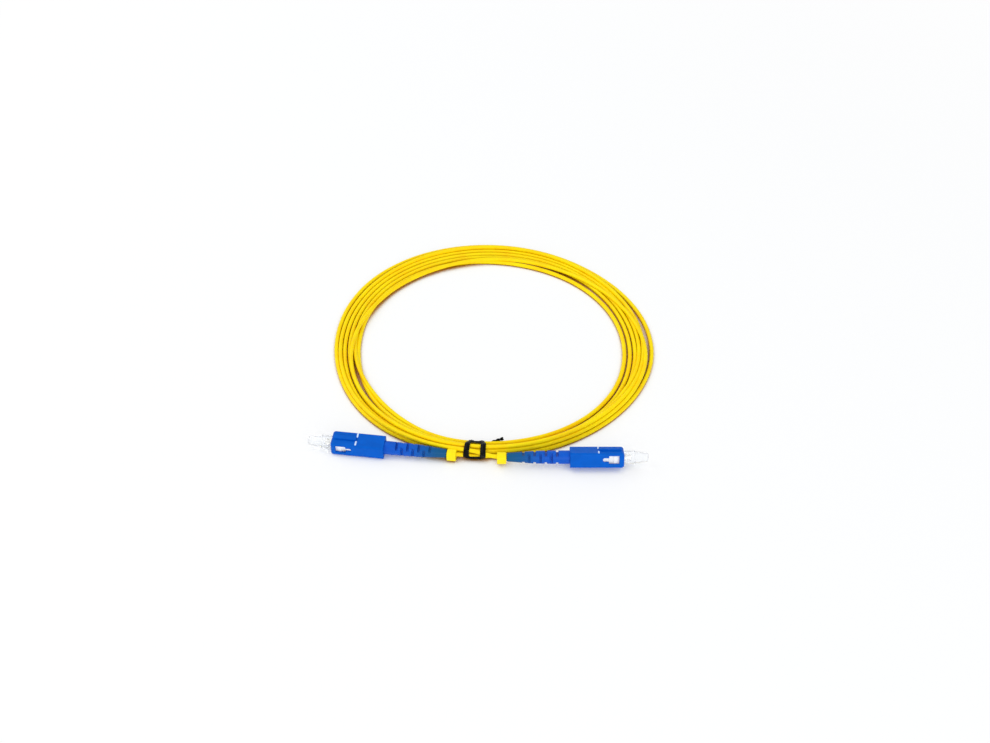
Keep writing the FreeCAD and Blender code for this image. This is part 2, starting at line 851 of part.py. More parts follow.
def cord_leads(doc, s, plugs):
    place = coil_place(s)
    diameter = s.cord_diameter.value
    tip = Vector(boot_end(s).value, 0, 0)
    first_run = Vector(s.lead_run.value, 0, 0)
    last_run = Vector(s.last_run.value, 0, 0)
    coil_start = place(s.start_turn.value)
    before = coil_start - end_tangent(place, s.start_turn.value) * s.coil_run.value
    route_a = [plugs["a"].multVec(tip), plugs["a"].multVec(tip + first_run)]
    route_a += [Vector(*point) for point in LEAD_A_POINTS]
    route_a += [before, coil_start]
    coil_end = place(s.end_turn.value)
    route_b = [coil_end, coil_end + end_tangent(place, s.end_turn.value) * s.lead_run.value]
    route_b += [Vector(*point) for point in LEAD_B_POINTS]
    route_b += [plugs["b"].multVec(tip + last_run), plugs["b"].multVec(tip)]
    shaped(doc, "cord_lead_a", laid_tube("cord_lead_a", route_a, diameter))
    shaped(doc, "cord_lead_b", laid_tube("cord_lead_b", route_b, diameter))


def frame_block(width, height, corner, depth):
    """A block along X with its long edges cut off, centred on the origin."""
    side = width / 2
    top = height / 2
    corners = [Vector(-depth / 2, across, up) for across, up in (
        (corner - side, -top), (side - corner, -top), (side, corner - top), (side, top - corner),
        (side - corner, top), (corner - side, top), (-side, top - corner), (-side, corner - top))]
    return Part.Face(Part.makePolygon(corners + corners[:1])).extrude(Vector(depth, 0, 0))


def twist_tie(doc, s):
    """Two loops of flat strip joined at the roof and the floor, and the twisted ends."""
    thick = s.tie_thickness.value
    width = s.tie_outer.value - s.tie_inner.value
    height = s.tie_roof.value - s.tie_floor.value
    corner = s.tie_corner.value
    band = s.tie_width.value
    loop = frame_block(width + 2 * thick, height + 2 * thick, corner + thick, band)
    loop = loop.cut(frame_block(width, height, corner, band * 2))
    spread = s.tie_spread.value
    loops = [loop.translated(Vector(side * spread / 2, 0, 0)) for side in (-1, 1)]
    roof = Part.makeBox(spread, band / 2, thick,
                        Vector(-spread / 2, width / 2 - corner - band / 2, height / 2))
    floor = Part.makeBox(spread, band / 2, thick,
                         Vector(-spread / 2, -width / 2 + corner, -height / 2 - thick))
    start = Vector(spread / 2, width / 2 - corner, height / 2 + thick / 2)
    end = start + Vector(s.twist_length.value, 0, s.twist_rise.value)
    tail = polygon_wire(start, (end - start).normalize(), Vector(0, 0, 1),
                        s.twist_wire.value / 2, INNER_SIDES // 2)
    tie = loops[0].multiFuse([loops[1], roof, floor, Part.Face(tail).extrude(end - start)])
    angle = math.radians(s.tie_angle.value)
    middle = (s.tie_outer.value + s.tie_inner.value) / 2
    centre = Vector(s.ring_x.value - middle * math.sin(angle),
                    s.ring_y.value - middle * math.cos(angle),
                    (s.tie_roof.value + s.tie_floor.value) / 2)
    placement = Placement(centre, Rotation(Vector(0, 0, 1), -s.tie_angle.value))
    return shaped(doc, "twist_tie", tie, placement)


def marker_placements(s, plugs):
    """Each marker hangs on its lead just behind the boot."""
    places = {}
    for end, plug in plugs.items():
        centre = plug.multVec(Vector(boot_end(s).value + s.marker_offset.value, 0, 0))
        drop = (s.marker_bore.value - s.cord_diameter.value) / 2 - s.running_gap.value
        heading = plug.Rotation.multVec(Vector(1, 0, 0))
        turn = math.degrees(math.atan2(heading.y, heading.x))
        places[end] = Placement(centre - Vector(0, 0, drop),
                                Rotation(Vector(0, 0, 1), turn))
    return places


def plug_placements(s):
    axis_a = s.grip_height.value / 2
    roll = math.radians(s.plug_b_roll.value)
    axis_b = axis_a * math.cos(roll) + s.grip_width.value / 2 * math.sin(roll)
    turn_a = Rotation(Vector(0, 0, 1), -s.plug_a_turn.value)
    turn_b = Rotation(Vector(1, 0, 0), -s.plug_b_roll.value) * Rotation(Vector(0, 0, 1), 180)
    place_a = Placement(Vector(-s.plug_a_left.value, s.plug_a_back.value, axis_a), turn_a)
    place_b = Placement(Vector(s.plug_b_right.value, -s.plug_b_front.value, axis_b), turn_b)
    return {"a": place_a, "b": place_b}


def check(doc):
    """Stops at any object that failed or has no sound shape."""
    for item in doc.Objects:
        if "Invalid" in item.State or "Error" in item.State:
            raise RuntimeError("%s failed: %s" % (item.Label, item.State))
    nodes = [item for item in doc.Objects
             if item.TypeId == "PartDesign::Body" or item.TypeId == "Part::Feature"]
    for item in nodes:
        if item.Shape.isNull() or not item.Shape.isValid() or not item.Shape.Solids:
            raise RuntimeError("%s has no sound shape" % item.Label)
    return nodes


def main():
    doc = FreeCAD.newDocument("patch_cord")
    s = Sizes(new_sheet(doc))
    plugs = plug_placements(s)
    markers = marker_placements(s, plugs)
    for end, placement in plugs.items():
        for piece in CONNECTOR_PIECES:
            piece(doc, s, "%s_%s" % (piece.__name__, end), placement)
        marker(doc, s, "marker_%s" % end, markers[end])
    cord_leads(doc, s, plugs)
    cord_coil(doc, s)
    twist_tie(doc, s)
    doc.recompute()
    os.makedirs("parts", exist_ok=True)
    for item in check(doc):
        item.Shape.exportStep(os.path.join("parts", item.Label + ".step"))
        print(item.Label, "solids", len(item.Shape.Solids), "volume %.3f" % item.Shape.Volume)


main()
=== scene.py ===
# %% [markdown]
# # A fibre optic patch cord
# Two blue push-pull plugs, each with a clear dust cap, a slotted boot and a marker ring, on
# one long yellow cord. The cord is wound into a ring, and a black twist tie holds it. The CAD
# model gives every hard part its place and size. Here each one gets its rounded edges and its
# finish, and the cord, the caps, the springs and the tie are made in their full form.

# %% Load the frame
import math
from itertools import combinations

import bmesh
import bpy
import numpy as np
from mathutils import Matrix, Vector


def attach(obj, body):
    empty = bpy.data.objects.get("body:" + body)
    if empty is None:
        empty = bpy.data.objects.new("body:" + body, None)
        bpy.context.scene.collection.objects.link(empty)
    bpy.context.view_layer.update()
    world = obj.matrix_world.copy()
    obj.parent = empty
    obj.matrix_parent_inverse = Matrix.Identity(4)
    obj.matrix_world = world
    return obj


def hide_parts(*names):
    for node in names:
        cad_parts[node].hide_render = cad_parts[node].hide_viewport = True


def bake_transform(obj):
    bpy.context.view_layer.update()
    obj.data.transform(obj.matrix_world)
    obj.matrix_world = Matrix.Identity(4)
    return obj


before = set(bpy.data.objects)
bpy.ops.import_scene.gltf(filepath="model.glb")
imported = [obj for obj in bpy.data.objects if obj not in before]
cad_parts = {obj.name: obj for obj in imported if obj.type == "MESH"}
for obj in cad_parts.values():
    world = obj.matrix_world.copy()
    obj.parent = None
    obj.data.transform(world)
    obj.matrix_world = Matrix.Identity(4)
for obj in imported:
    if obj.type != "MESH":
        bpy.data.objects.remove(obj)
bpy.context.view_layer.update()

scene = bpy.context.scene
MM = 0.001

# %% [markdown]
# ## The camera
# The photograph looks down on the ring at 45 degrees from about 0.7 m. The camera could be
# placed by eye, but its place was worked out from the ring, which shows as an ellipse, and
# from the two plugs, so the numbers here are only distance, height angle and lens.

# %% Camera
VIEW_TARGET = Vector((0.008, 0.056, 0))
VIEW_DISTANCE = 0.714
VIEW_ELEVATION = math.radians(45)

camera_data = bpy.data.cameras.new("camera")
camera_data.lens = 52.5
camera_data.sensor_width = 36
camera_data.clip_start = 0.01
camera_data.clip_end = 20
camera = bpy.data.objects.new("camera", camera_data)
scene.collection.objects.link(camera)
backwards = Vector((0, -math.cos(VIEW_ELEVATION), math.sin(VIEW_ELEVATION)))
camera.location = VIEW_TARGET + backwards * VIEW_DISTANCE
camera.rotation_euler = (math.pi / 2 - VIEW_ELEVATION, 0, 0)
scene.camera = camera
print("camera at", [round(v, 3) for v in camera.location])

# %% [markdown]
# ## Colours and nodes
# A hex colour is written for the screen, so it is curved, while the renderer adds light in a
# straight line. One function turns the one into the other. A second small function adds a
# node with its settings and its links, and every material and every rule below uses it.

# %% Helpers: colours and nodes
def linear(text):
    """A hex colour as the linear numbers that the shader wants."""
    parts = [int(text[i:i + 2], 16) / 255 for i in (1, 3, 5)]
    parts = [p / 12.92 if p <= 0.04045 else ((p + 0.055) / 1.055) ** 2.4 for p in parts]
    return (*parts, 1)


def add(tree, kind, settings=(), **inputs):
    """Adds a node. An input is a plain value, or the socket that feeds it."""
    node = tree.nodes.new(kind)
    for name, value in dict(settings).items():
        setattr(node, name, value)
    for name, value in inputs.items():
        numbered = name[1:].isdigit()
        socket = node.inputs[int(name[1:]) if numbered else name.replace("_", " ")]
        if isinstance(value, bpy.types.NodeSocket):
            tree.links.new(value, socket)
        else:
            socket.default_value = value
    return node


print("white is", linear("#FFFFFF"))

# %% Helpers: finishes
def finish(name, colour, roughness, **sockets):
    """A material with its shader, its constants set on the shader's own sockets."""
    material = bpy.data.materials.new(name)
    material.use_nodes = True
    tree = material.node_tree
    shader = tree.nodes["Principled BSDF"]
    shader.inputs["Base Color"].default_value = linear(colour)
    shader.inputs["Roughness"].default_value = roughness
    for socket, value in sockets.items():
        shader.inputs[socket.replace("_", " ")].default_value = value
    material.diffuse_color = linear(colour)
    return material, tree, shader


def grain(tree, shader, size_mm, depth_mm):
    """A fine moulded, ground or extruded grain of a real size, as bump."""
    place = add(tree, "ShaderNodeTexCoord")
    noise = add(tree, "ShaderNodeTexNoise", Vector=place.outputs["Object"],
                Scale=1 / (size_mm * MM), Detail=2.0, Roughness=0.55)
    bump = add(tree, "ShaderNodeBump", Distance=depth_mm * MM, Height=noise.outputs["Fac"])
    tree.links.new(bump.outputs["Normal"], shader.inputs["Normal"])
    return place


def vary(tree, place, dark, light, size_mm):
    """Slow colour variation between two close shades, as a colour socket."""
    noise = add(tree, "ShaderNodeTexNoise", Vector=place.outputs["Object"],
                Scale=1 / (size_mm * MM), Detail=3.0)
    ramp = add(tree, "ShaderNodeValToRGB", Fac=noise.outputs["Fac"])
    for stop, position, colour in zip(ramp.color_ramp.elements, (0.35, 0.65), (dark, light)):
        stop.position = position
        stop.color = linear(colour)
    return ramp.outputs["Color"]


print("finishes ready")

# %% [markdown]
# ## The cord's jacket
# The jacket is soft PVC, pushed hot through a round die. It has a low sheen, a very fine
# matt grain, and it is one strong yellow all the way, a shade deeper where it was handled.
# The grain is 0.25 mm across and only microns deep, enough to break up the highlight.

# %% Material: extruded PVC jacket
jacket, tree, shader = finish("extruded_pvc_jacket", "#FFE000", 0.5, IOR=1.5,
                              Specular_IOR_Level=0.15)
place = grain(tree, shader, 0.25, 0.005)
tree.links.new(vary(tree, place, "#FFDA00", "#FFE600", 9.0), shader.inputs["Base Color"])
print("made", jacket.name)

# %% [markdown]
# ## The ring
# About 3 m of 2 mm cord lies in seven turns. A wound ring looks real when its strands lie
# on the floor and in each other's grooves, drift apart where nothing holds them and draw
# together at the tie. They could be laid by simulation, but a table of lanes keeps the look
# of this ring: at each of eighteen angles it gives every turn's distance from the ring's
# centre and its height. A short loop then pushes apart what lies closer than a cord's width.

# %% The lanes of the ring
CORD_WIDTH = 2.0
RING_CENTRE = (5.95, 71.0)
TIE_ANGLE = -5.9
PER_TURN = 20
STATIONS = [0, 20, 40, 65, 93, 118, 143, 165, 190, 207, 230, 252, 270, 288, 306, 320, 338, 360]
LANES = [
    [(71.9, 1.7), (69.5, 1.7), (67.2, 1.7), (65.7, 3.6), (68.3, 3.6), (70.7, 3.6), (69.4, 5.4)],
    [(71.0, 1.2), (68.9, 1.2), (66.8, 1.2), (64.5, 3.1), (67.5, 3.2), (69.9, 3.2), (69.1, 4.9)],
    [(72.2, 1.0), (69.8, 1.0), (67.4, 1.0), (65.1, 1.2), (68.5, 2.7), (70.8, 2.7), (69.6, 4.4)],
    [(75.1, 1.0), (72.5, 1.0), (70.2, 1.0), (67.1, 1.0), (71.5, 2.6), (73.8, 2.9), (72.6, 4.4)],
    [(83.5, 1.0), (72.4, 1.0), (69.4, 1.0), (66.8, 1.0), (75.4, 1.0), (80.8, 2.4), (78.4, 1.0)],
    [(80.6, 1.0), (71.8, 1.0), (69.4, 1.0), (67.0, 1.0), (74.3, 1.0), (73.2, 3.1), (77.4, 1.0)],
    [(77.1, 1.0), (72.7, 1.0), (70.5, 1.0), (66.3, 1.0), (74.9, 1.0), (68.5, 3.0), (73.8, 2.9)],
    [(78.4, 1.0), (72.8, 1.0), (70.3, 1.0), (65.0, 1.0), (75.4, 1.0), (67.4, 1.3), (76.7, 2.7)],
    [(79.1, 1.0), (72.8, 1.0), (70.2, 1.0), (66.6, 1.0), (75.4, 1.0), (67.8, 2.8), (77.1, 2.6)],
    [(80.4, 1.0), (73.8, 1.0), (71.0, 1.0), (67.9, 1.0), (77.0, 1.0), (64.7, 1.6), (76.8, 3.0)],
    [(83.1, 1.0), (75.0, 1.0), (72.7, 1.0), (70.4, 1.0), (77.5, 1.0), (68.1, 1.1), (80.1, 1.0)],
    [(80.3, 1.0), (72.8, 1.0), (70.5, 1.0), (68.2, 1.0), (75.1, 1.0), (65.9, 2.8), (77.6, 1.0)],
    [(77.6, 1.0), (70.4, 1.0), (68.1, 1.0), (65.8, 1.0), (72.8, 1.0), (69.3, 3.1), (75.2, 1.0)],
    [(75.8, 1.0), (69.6, 1.0), (66.7, 2.9), (65.7, 1.0), (72.1, 1.0), (70.9, 3.0), (74.1, 2.4)],
    [(76.1, 1.0), (70.3, 1.0), (64.1, 2.6), (67.2, 1.0), (73.3, 1.2), (70.9, 3.1), (74.9, 2.9)],
    [(75.5, 1.0), (70.4, 1.0), (62.9, 1.4), (66.9, 1.6), (72.7, 1.6), (70.5, 3.3), (74.2, 3.4)],
    [(72.6, 1.2), (69.5, 1.2), (67.2, 1.6), (68.3, 3.4), (70.6, 3.1), (70.3, 5.0), (72.6, 3.9)],
    [(69.5, 1.7), (67.2, 1.7), (65.7, 3.6), (68.3, 3.6), (70.7, 3.6), (69.4, 5.4), (71.8, 5.3)],
]
TURNS = len(LANES[0])


def lane_at(number):
    """Distance from the centre and height of one point of the ring, from the table."""
    turn = min(number // PER_TURN, TURNS - 1)
    angle = 360 * (number / PER_TURN - turn)
    return [np.interp(angle, STATIONS, [row[turn][axis] for row in LANES]) for axis in (0, 1)]


print("lanes of", TURNS, "turns at", len(STATIONS), "angles")

# %% The strands settle
SPACING = CORD_WIDTH * 1.02
FLOOR_GAP = 0.02
STRIP_LIFT = 0.72
LIFT_SHARPNESS = 14
SETTLING_STEPS = 36
PULLED_STEPS = 30
PULL_HOME = 0.2
SMOOTHING = 0.25
PUSHES = 3


def floor_under(number):
    """The lowest height of the cord's middle. The tie's strip lies under the bundle."""
    near = max(math.cos(2 * math.pi * number / PER_TURN), 0)
    return CORD_WIDTH / 2 + FLOOR_GAP + STRIP_LIFT * near ** LIFT_SHARPNESS


def settled(lanes):
    """Pushes apart the turns that lie too close, at every angle.

    All but the last steps also smooth the line and pull it back to its lane.
    """
    wanted = np.array(lanes)
    spots = wanted.copy()
    lowest = np.array([floor_under(number) for number in range(len(spots))])
    for step in range(SETTLING_STEPS):
        if step < PULLED_STEPS:
            spots += PULL_HOME * (wanted - spots)
            spots[1:-1] += SMOOTHING * (0.5 * (spots[:-2] + spots[2:]) - spots[1:-1])
        for _ in range(PUSHES):
            for column in range(PER_TURN):
                for one, other in combinations(range(column, len(spots), PER_TURN), 2):
                    across = spots[other] - spots[one]
                    gap = math.hypot(*across)
                    if gap < SPACING:
                        push = across / max(gap, 1e-6) * (SPACING - gap) / 2
                        spots[one] -= push
                        spots[other] += push
            spots[:, 1] = np.maximum(spots[:, 1], lowest)
    return spots


ring = settled([lane_at(number) for number in range(TURNS * PER_TURN + 1)])
print("ring points", len(ring), "highest", round(float(ring[:, 1].max()), 2), "mm")

# %% [markdown]
# ## The cord's line
# The line itself is a NURBS curve, which is smooth whatever its points are. Where it passes a
# point, it takes three quarters from that point and an eighth from each neighbour, so it cuts
# the corners a little, and the ring's points are moved out by that much. The two ends follow
# the points that the CAD model's leads have, from the tip of each boot.

# %% The cord's curve
LEAD_A = [(-14.46, -1.57, 3.7), (-11.09, -2.01, 3.7), (-6.7, -1.4, 2.8)]
LEAD_B = [(3.5, -2.7, 4.4), (9.0, -5.2, 5.21), (13.4, -5.2, 5.21)]
reach = 1 / (0.75 + 0.25 * math.cos(2 * math.pi / PER_TURN))
route = list(LEAD_A)
for number, (radius, height) in enumerate(ring):
    angle = math.radians(360 * number / PER_TURN + TIE_ANGLE)
    route.append((RING_CENTRE[0] + radius * reach * math.sin(angle),
                  RING_CENTRE[1] - radius * reach * math.cos(angle), height))
route += LEAD_B

cord_curve = bpy.data.curves.new("cord", "CURVE")
cord_curve.dimensions = "3D"
spline = cord_curve.splines.new("NURBS")
spline.points.add(len(route) - 1)
for point, (x, y, z) in zip(spline.points, route):
    point.co = (x * MM, y * MM, z * MM, 1)
spline.order_u = 3
spline.use_endpoint_u = True
spline.resolution_u = 6
cord_curve.materials.append(jacket)
cord = bpy.data.objects.new("cord", cord_curve)
scene.collection.objects.link(cord)

bpy.context.view_layer.update()
middle = bpy.data.meshes.new_from_object(
    cord.evaluated_get(bpy.context.evaluated_depsgraph_get()))
followed = np.array([v.co for v in middle.vertices]) / MM
bpy.data.meshes.remove(middle)
cord_curve.bevel_depth = CORD_WIDTH / 2 * MM
cord_curve.bevel_resolution = 4

# %% [markdown]
# ## Where the plugs lie
# Both plugs are the same, so each piece of a plug is made once in the plug's own frame, in
# millimetres from the grip's front face towards the cord, and is then put in its place. Plug
# A is turned a little on the floor, and plug B has rolled onto the lower edge of its grip.

# %% The plugs' places
PLUGS = {
    "a": Matrix.Translation((-68.2, 5.5, 3.7)) @ Matrix.Rotation(math.radians(-7.5), 4, "Z"),
    "b": Matrix.Translation((67.6, -5.2, 5.2104)) @ Matrix.Rotation(math.radians(-24), 4, "X")
    @ Matrix.Rotation(math.pi, 4, "Z"),
}
BOOT_TO = 54.2


def at_plug(end, along, across=0, up=0):
    """A point of a plug's own frame, in metres in the object's frame."""
    return PLUGS[end] @ Vector((along, across, up)) * MM


for end in "ab":
    print("boot tip", end, [round(v, 5) for v in at_plug(end, BOOT_TO)])

# %% [markdown]
# ## Skins with rounded edges
# A moulded part has no sharp edge: each one is rounded by a tenth or two of a millimetre,
# and that thin line of light is what makes it look solid. Where the CAD part has the right
# shape, a copy of it is merged into one skin and its flat faces are joined again. A Bevel
# then rounds the edges. The CAD part itself is left as it is.

# %% Helpers for skins
def flattened(skin):
    """Joins a skin's doubled points, and the small faces that lie in one plane."""
    bmesh.ops.remove_doubles(skin, verts=skin.verts, dist=0.002)
    bmesh.ops.dissolve_limit(skin, angle_limit=math.radians(1.0), verts=skin.verts,
                             edges=skin.edges, use_dissolve_boundaries=False)
    return skin


def merged(node, end):
    """A CAD part as one skin with whole flat faces, in the plug's own frame."""
    skin = bmesh.new()
    skin.from_mesh(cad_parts[node].data)
    skin.transform(PLUGS[end].inverted() @ Matrix.Scale(1 / MM, 4))
    flattened(skin)
    bmesh.ops.recalc_face_normals(skin, faces=skin.faces)
    return skin


def new_piece(name, skin, material, end=None):
    """An object from a skin. With an end, the skin is put in that plug's place first."""
    if end:
        skin.transform(Matrix.Scale(MM, 4) @ PLUGS[end])
    mesh = bpy.data.meshes.new(name)
    skin.to_mesh(mesh)
    skin.free()
    mesh.materials.append(material)
    mesh.shade_smooth()
    piece = bpy.data.objects.new(name, mesh)
    scene.collection.objects.link(piece)
    return piece


def round_edges(piece, width_mm, steps=2, sharp=30):
    """Rounds every edge that turns more than the sharp angle."""
    bevel = piece.modifiers.new("rounded_edges", "BEVEL")
    bevel.width = width_mm * MM
    bevel.segments = steps
    bevel.limit_method = "ANGLE"
    bevel.angle_limit = math.radians(sharp)
    bevel.loop_slide = False
    normals = piece.modifiers.new("flat_faces_stay_flat", "WEIGHTED_NORMAL")
    normals.keep_sharp = True
    return piece


def place_piece(piece, body, slot, *nodes):
    """Fixes a finished piece to its body, in place of its CAD parts."""
    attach(piece, body)
    if nodes:
        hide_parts(*nodes)
    return piece


print("skins ready")

# %% [markdown]
# ## The grips
# The blue grip is moulded in a hard, satin plastic. Its steel mould leaves a very fine grain.
# Its long corners and its nose are well rounded, while the edges of its windows are crisp. So
# a rounded bar gives the outside, the CAD part gives the hollow and the windows, and what
# lies in both is kept. The key is joined on top. The front of each side window is made a
# little taller than in the CAD part, so that the white frame shows well.

# %% Material: moulded grips
grip_plastic, tree, shader = finish("moulded_pbt_grip", "#005DC8", 0.45, IOR=1.55,
                                    Specular_IOR_Level=0.06)
place = grain(tree, shader, 0.12, 0.002)
tree.links.new(vary(tree, place, "#005AC3", "#0060CD", 5.0), shader.inputs["Base Color"])
print("made", grip_plastic.name)

# %% Helpers: a rounded bar, and skins combined
GRIP_SIDE = 4.495
GRIP_TOP = 3.695
CORNER_ROUND = 1.1
LEAST_ROUND = 0.2
NOSE_ROUND = 1.4
ARC_STEP = 15


def walled(skin, rings, closed=False):
    """Joins rings of points in turn. If they don't close, each end gets a face."""
    for one, other in zip(rings, rings[1:] + (rings[:1] if closed else [])):
        for number in range(len(one)):
            following = (number + 1) % len(one)
            skin.faces.new((one[number], one[following], other[following], other[number]))
    if not closed:
        skin.faces.new(rings[0])
        skin.faces.new(rings[-1])


def swept(rings):
    """A closed skin through rings that have the same number of points."""
    skin = bmesh.new()
    walled(skin, [[skin.verts.new(point) for point in ring] for ring in rings])
    bmesh.ops.recalc_face_normals(skin, faces=skin.faces)
    return skin


def bar_section(along, shrink=0.0):
    """The grip's outline at one place. It shrinks towards the nose."""
    corner = max(CORNER_ROUND - shrink, LEAST_ROUND)
    points = []
    for side, top, start in ((1, 1, 0), (-1, 1, 90), (-1, -1, 180), (1, -1, 270)):
        for degrees in range(start, start + 91, ARC_STEP):
            turn = math.radians(degrees)
            points.append((along, side * (GRIP_SIDE - shrink - corner) + corner * math.cos(turn),
                           top * (GRIP_TOP - shrink - corner) + corner * math.sin(turn)))
    return points


def combined(skin, *tools):
    """Works on a skin with other skins in turn. Each tool is an operation and its skin."""
    holders = []
    for part in [skin] + [tool for _, tool in tools]:
        mesh = bpy.data.meshes.new("holder")
        part.to_mesh(mesh)
        part.free()
        holders.append(bpy.data.objects.new("holder", mesh))
        scene.collection.objects.link(holders[-1])
    for (operation, _), other in zip(tools, holders[1:]):
        step = holders[0].modifiers.new("step", "BOOLEAN")
        step.operation = operation
        step.solver = "EXACT"
        step.object = other
    bpy.context.view_layer.update()
    mesh = bpy.data.meshes.new_from_object(
        holders[0].evaluated_get(bpy.context.evaluated_depsgraph_get()))
    for holder in holders:
        bpy.data.objects.remove(holder)
    result = bmesh.new()
    result.from_mesh(mesh)
    bpy.data.meshes.remove(mesh)
    return result


print("bar and tools ready")

# %% Pieces: grips
BAR_TO = 27
KEY_FROM = 1.2
KEY_TO = 11.8
KEY_CORNERS = [(1.1, 3.3), (1.1, 4.5), (-1.1, 4.5), (-1.1, 3.3)]
WALL_FROM = 3.6
WINDOW_RISE = 0.45
WINDOW_FROM = 1.2
WINDOW_TO = 2
WINDOW_OPENED = 1.2

for end in "ab":
    inside = merged("outer_housing_" + end, end)
    for corner in inside.verts:
        above = corner.co.z - WINDOW_RISE
        if abs(corner.co.y) > WALL_FROM and WINDOW_FROM < abs(above) < WINDOW_TO:
            corner.co.z = WINDOW_RISE + above * WINDOW_OPENED
    sections = []
    for degrees in range(90, -1, -ARC_STEP):
        turn = math.radians(degrees)
        sections.append(bar_section(NOSE_ROUND * (1 - math.sin(turn)),
                                    NOSE_ROUND * (1 - math.cos(turn))))
    key = swept([[(along, across, up) for across, up in KEY_CORNERS]
                 for along in (KEY_FROM, KEY_TO)])
    bar = swept(sections + [bar_section(BAR_TO)])
    skin = flattened(combined(bar, ("INTERSECT", inside), ("UNION", key)))
    grip = round_edges(new_piece("grip_" + end, skin, grip_plastic, end), 0.1)
    place_piece(grip, "grip_" + end, "blue_plastic", "outer_housing_" + end)
    print("grip", end, "faces", len(grip.data.polygons))

# %% [markdown]
# ## The white dashes
# Two short white lines are printed across the top of each grip, just behind the key. When
# they vanish into the socket, the plug is fully home. Print could be a pattern in the grip's
# material, but a film of ink has a crisp edge and a matt face of its own, so each dash is a
# thin plate with round ends that lies on the plastic.

# %% Material and pieces: printed dashes
ink, tree, shader = finish("pad_printed_ink", "#CFE4FF", 0.55, IOR=1.5)
grain(tree, shader, 0.1, 0.002)
DASH_AT = 11.9
DASH_WIDTH = 0.75
DASH_FROM = 1.1
DASH_TO = 3.85
INK_HEIGHT = 0.025

for end in "ab":
    skin = bmesh.new()
    for side in (-1, 1):
        outline = []
        for middle_y, start in ((DASH_TO - DASH_WIDTH / 2, 0), (DASH_FROM + DASH_WIDTH / 2, 180)):
            for turn in np.radians(np.linspace(start, start + 180, 9)):
                outline.append(skin.verts.new((
                    DASH_AT + DASH_WIDTH / 2 * math.cos(turn),
                    side * (middle_y + DASH_WIDTH / 2 * math.sin(turn)), GRIP_TOP)))
        face = skin.faces.new(outline)
        raised = bmesh.ops.extrude_face_region(skin, geom=[face])["geom"]
        tops = [v for v in raised if isinstance(v, bmesh.types.BMVert)]
        bmesh.ops.translate(skin, verts=tops, vec=(0, 0, INK_HEIGHT))
    bmesh.ops.recalc_face_normals(skin, faces=skin.faces)
    dashes = new_piece("printed_dashes_" + end, skin, ink, end)
    dashes.data.set_sharp_from_angle(angle=math.radians(40))
    place_piece(dashes, "grip_" + end, "white_plastic")
print("printed the dashes")

# %% [markdown]
# ## The white plug frames
# The inner plug body shows through the grip's windows. Its latch shoulders are what the
# socket's hooks snap over. It is moulded in a bright white plastic with a satin face, and
# it needs the full white because it lies in the shade of the grip's walls.

# %% Material and pieces: plug frames
white_plastic, tree, shader = finish("moulded_white_frame", "#FFFFFF", 0.4, IOR=1.5)
grain(tree, shader, 0.15, 0.002)

for end in "ab":
    plug = round_edges(new_piece("latch_frame_" + end, merged("plug_frame_" + end, end),
                                 white_plastic, end), 0.1)
    place_piece(plug, "cord_body", "white_plastic", "plug_frame_" + end)
print("made the plug frames")

# %% [markdown]
# ## Rules that grow geometry
# What repeats is left to a rule. A small helper makes a tree of Geometry Nodes with named
# sizes, and another one runs it once and keeps the result as a plain mesh, because a plain
# mesh is what can be cut, bent and exported.

# %% Helpers for geometry rules
def new_rule(name, sizes):
    """A tree with one input for each named size. Whole numbers are counts."""
    rule = bpy.data.node_groups.new(name, "GeometryNodeTree")
    for size, value in sizes.items():
        kind = "NodeSocketInt" if isinstance(value, int) else "NodeSocketFloat"
        socket = rule.interface.new_socket(size, in_out="INPUT", socket_type=kind)
        socket.default_value = value
    rule.interface.new_socket("Geometry", in_out="OUTPUT", socket_type="NodeSocketGeometry")
    return rule, add(rule, "NodeGroupInput").outputs


def end_rule(rule, geometry, material):
    """Ends a tree in Realize Instances and Set Material."""
    real = add(rule, "GeometryNodeRealizeInstances", Geometry=geometry)
    dressed = add(rule, "GeometryNodeSetMaterial", Geometry=real.outputs["Geometry"],
                  Material=material)
    result = add(rule, "NodeGroupOutput")
    rule.links.new(dressed.outputs["Geometry"], result.inputs["Geometry"])


def grow(rule, name, **sizes):
    """Runs a rule with its sizes and gives the result as a plain mesh."""
    holder = bpy.data.objects.new(name, bpy.data.meshes.new(name))
    modifier = holder.modifiers.new("rule", "NODES")
    modifier.node_group = rule
    for item in rule.interface.items_tree:
        if item.in_out == "INPUT":
            modifier[item.identifier] = sizes.get(item.name, item.default_value)
    scene.collection.objects.link(holder)
    bpy.context.view_layer.update()
    mesh = bpy.data.meshes.new_from_object(
        holder.evaluated_get(bpy.context.evaluated_depsgraph_get()))
    bpy.data.objects.remove(holder)
    mesh.name = name
    return mesh


print("rules ready")

# %% [markdown]
# ## The boots
# The boot is soft rubber. Its body is turned from one outline: a straight front inside the
# grip, a stretch that narrows a little, and a plain tip. Pairs of slots, now above and below,
# now left and right, let it bend. One rule makes the whole set of cutting blocks, and a
# Boolean takes them out of the turned body. The wall is thin near the tip and the yellow
# cord shows through it, so the blue goes towards teal there. A number kept on each vertex,
# from 0 at the front to 1 at the tip, carries that change of colour.

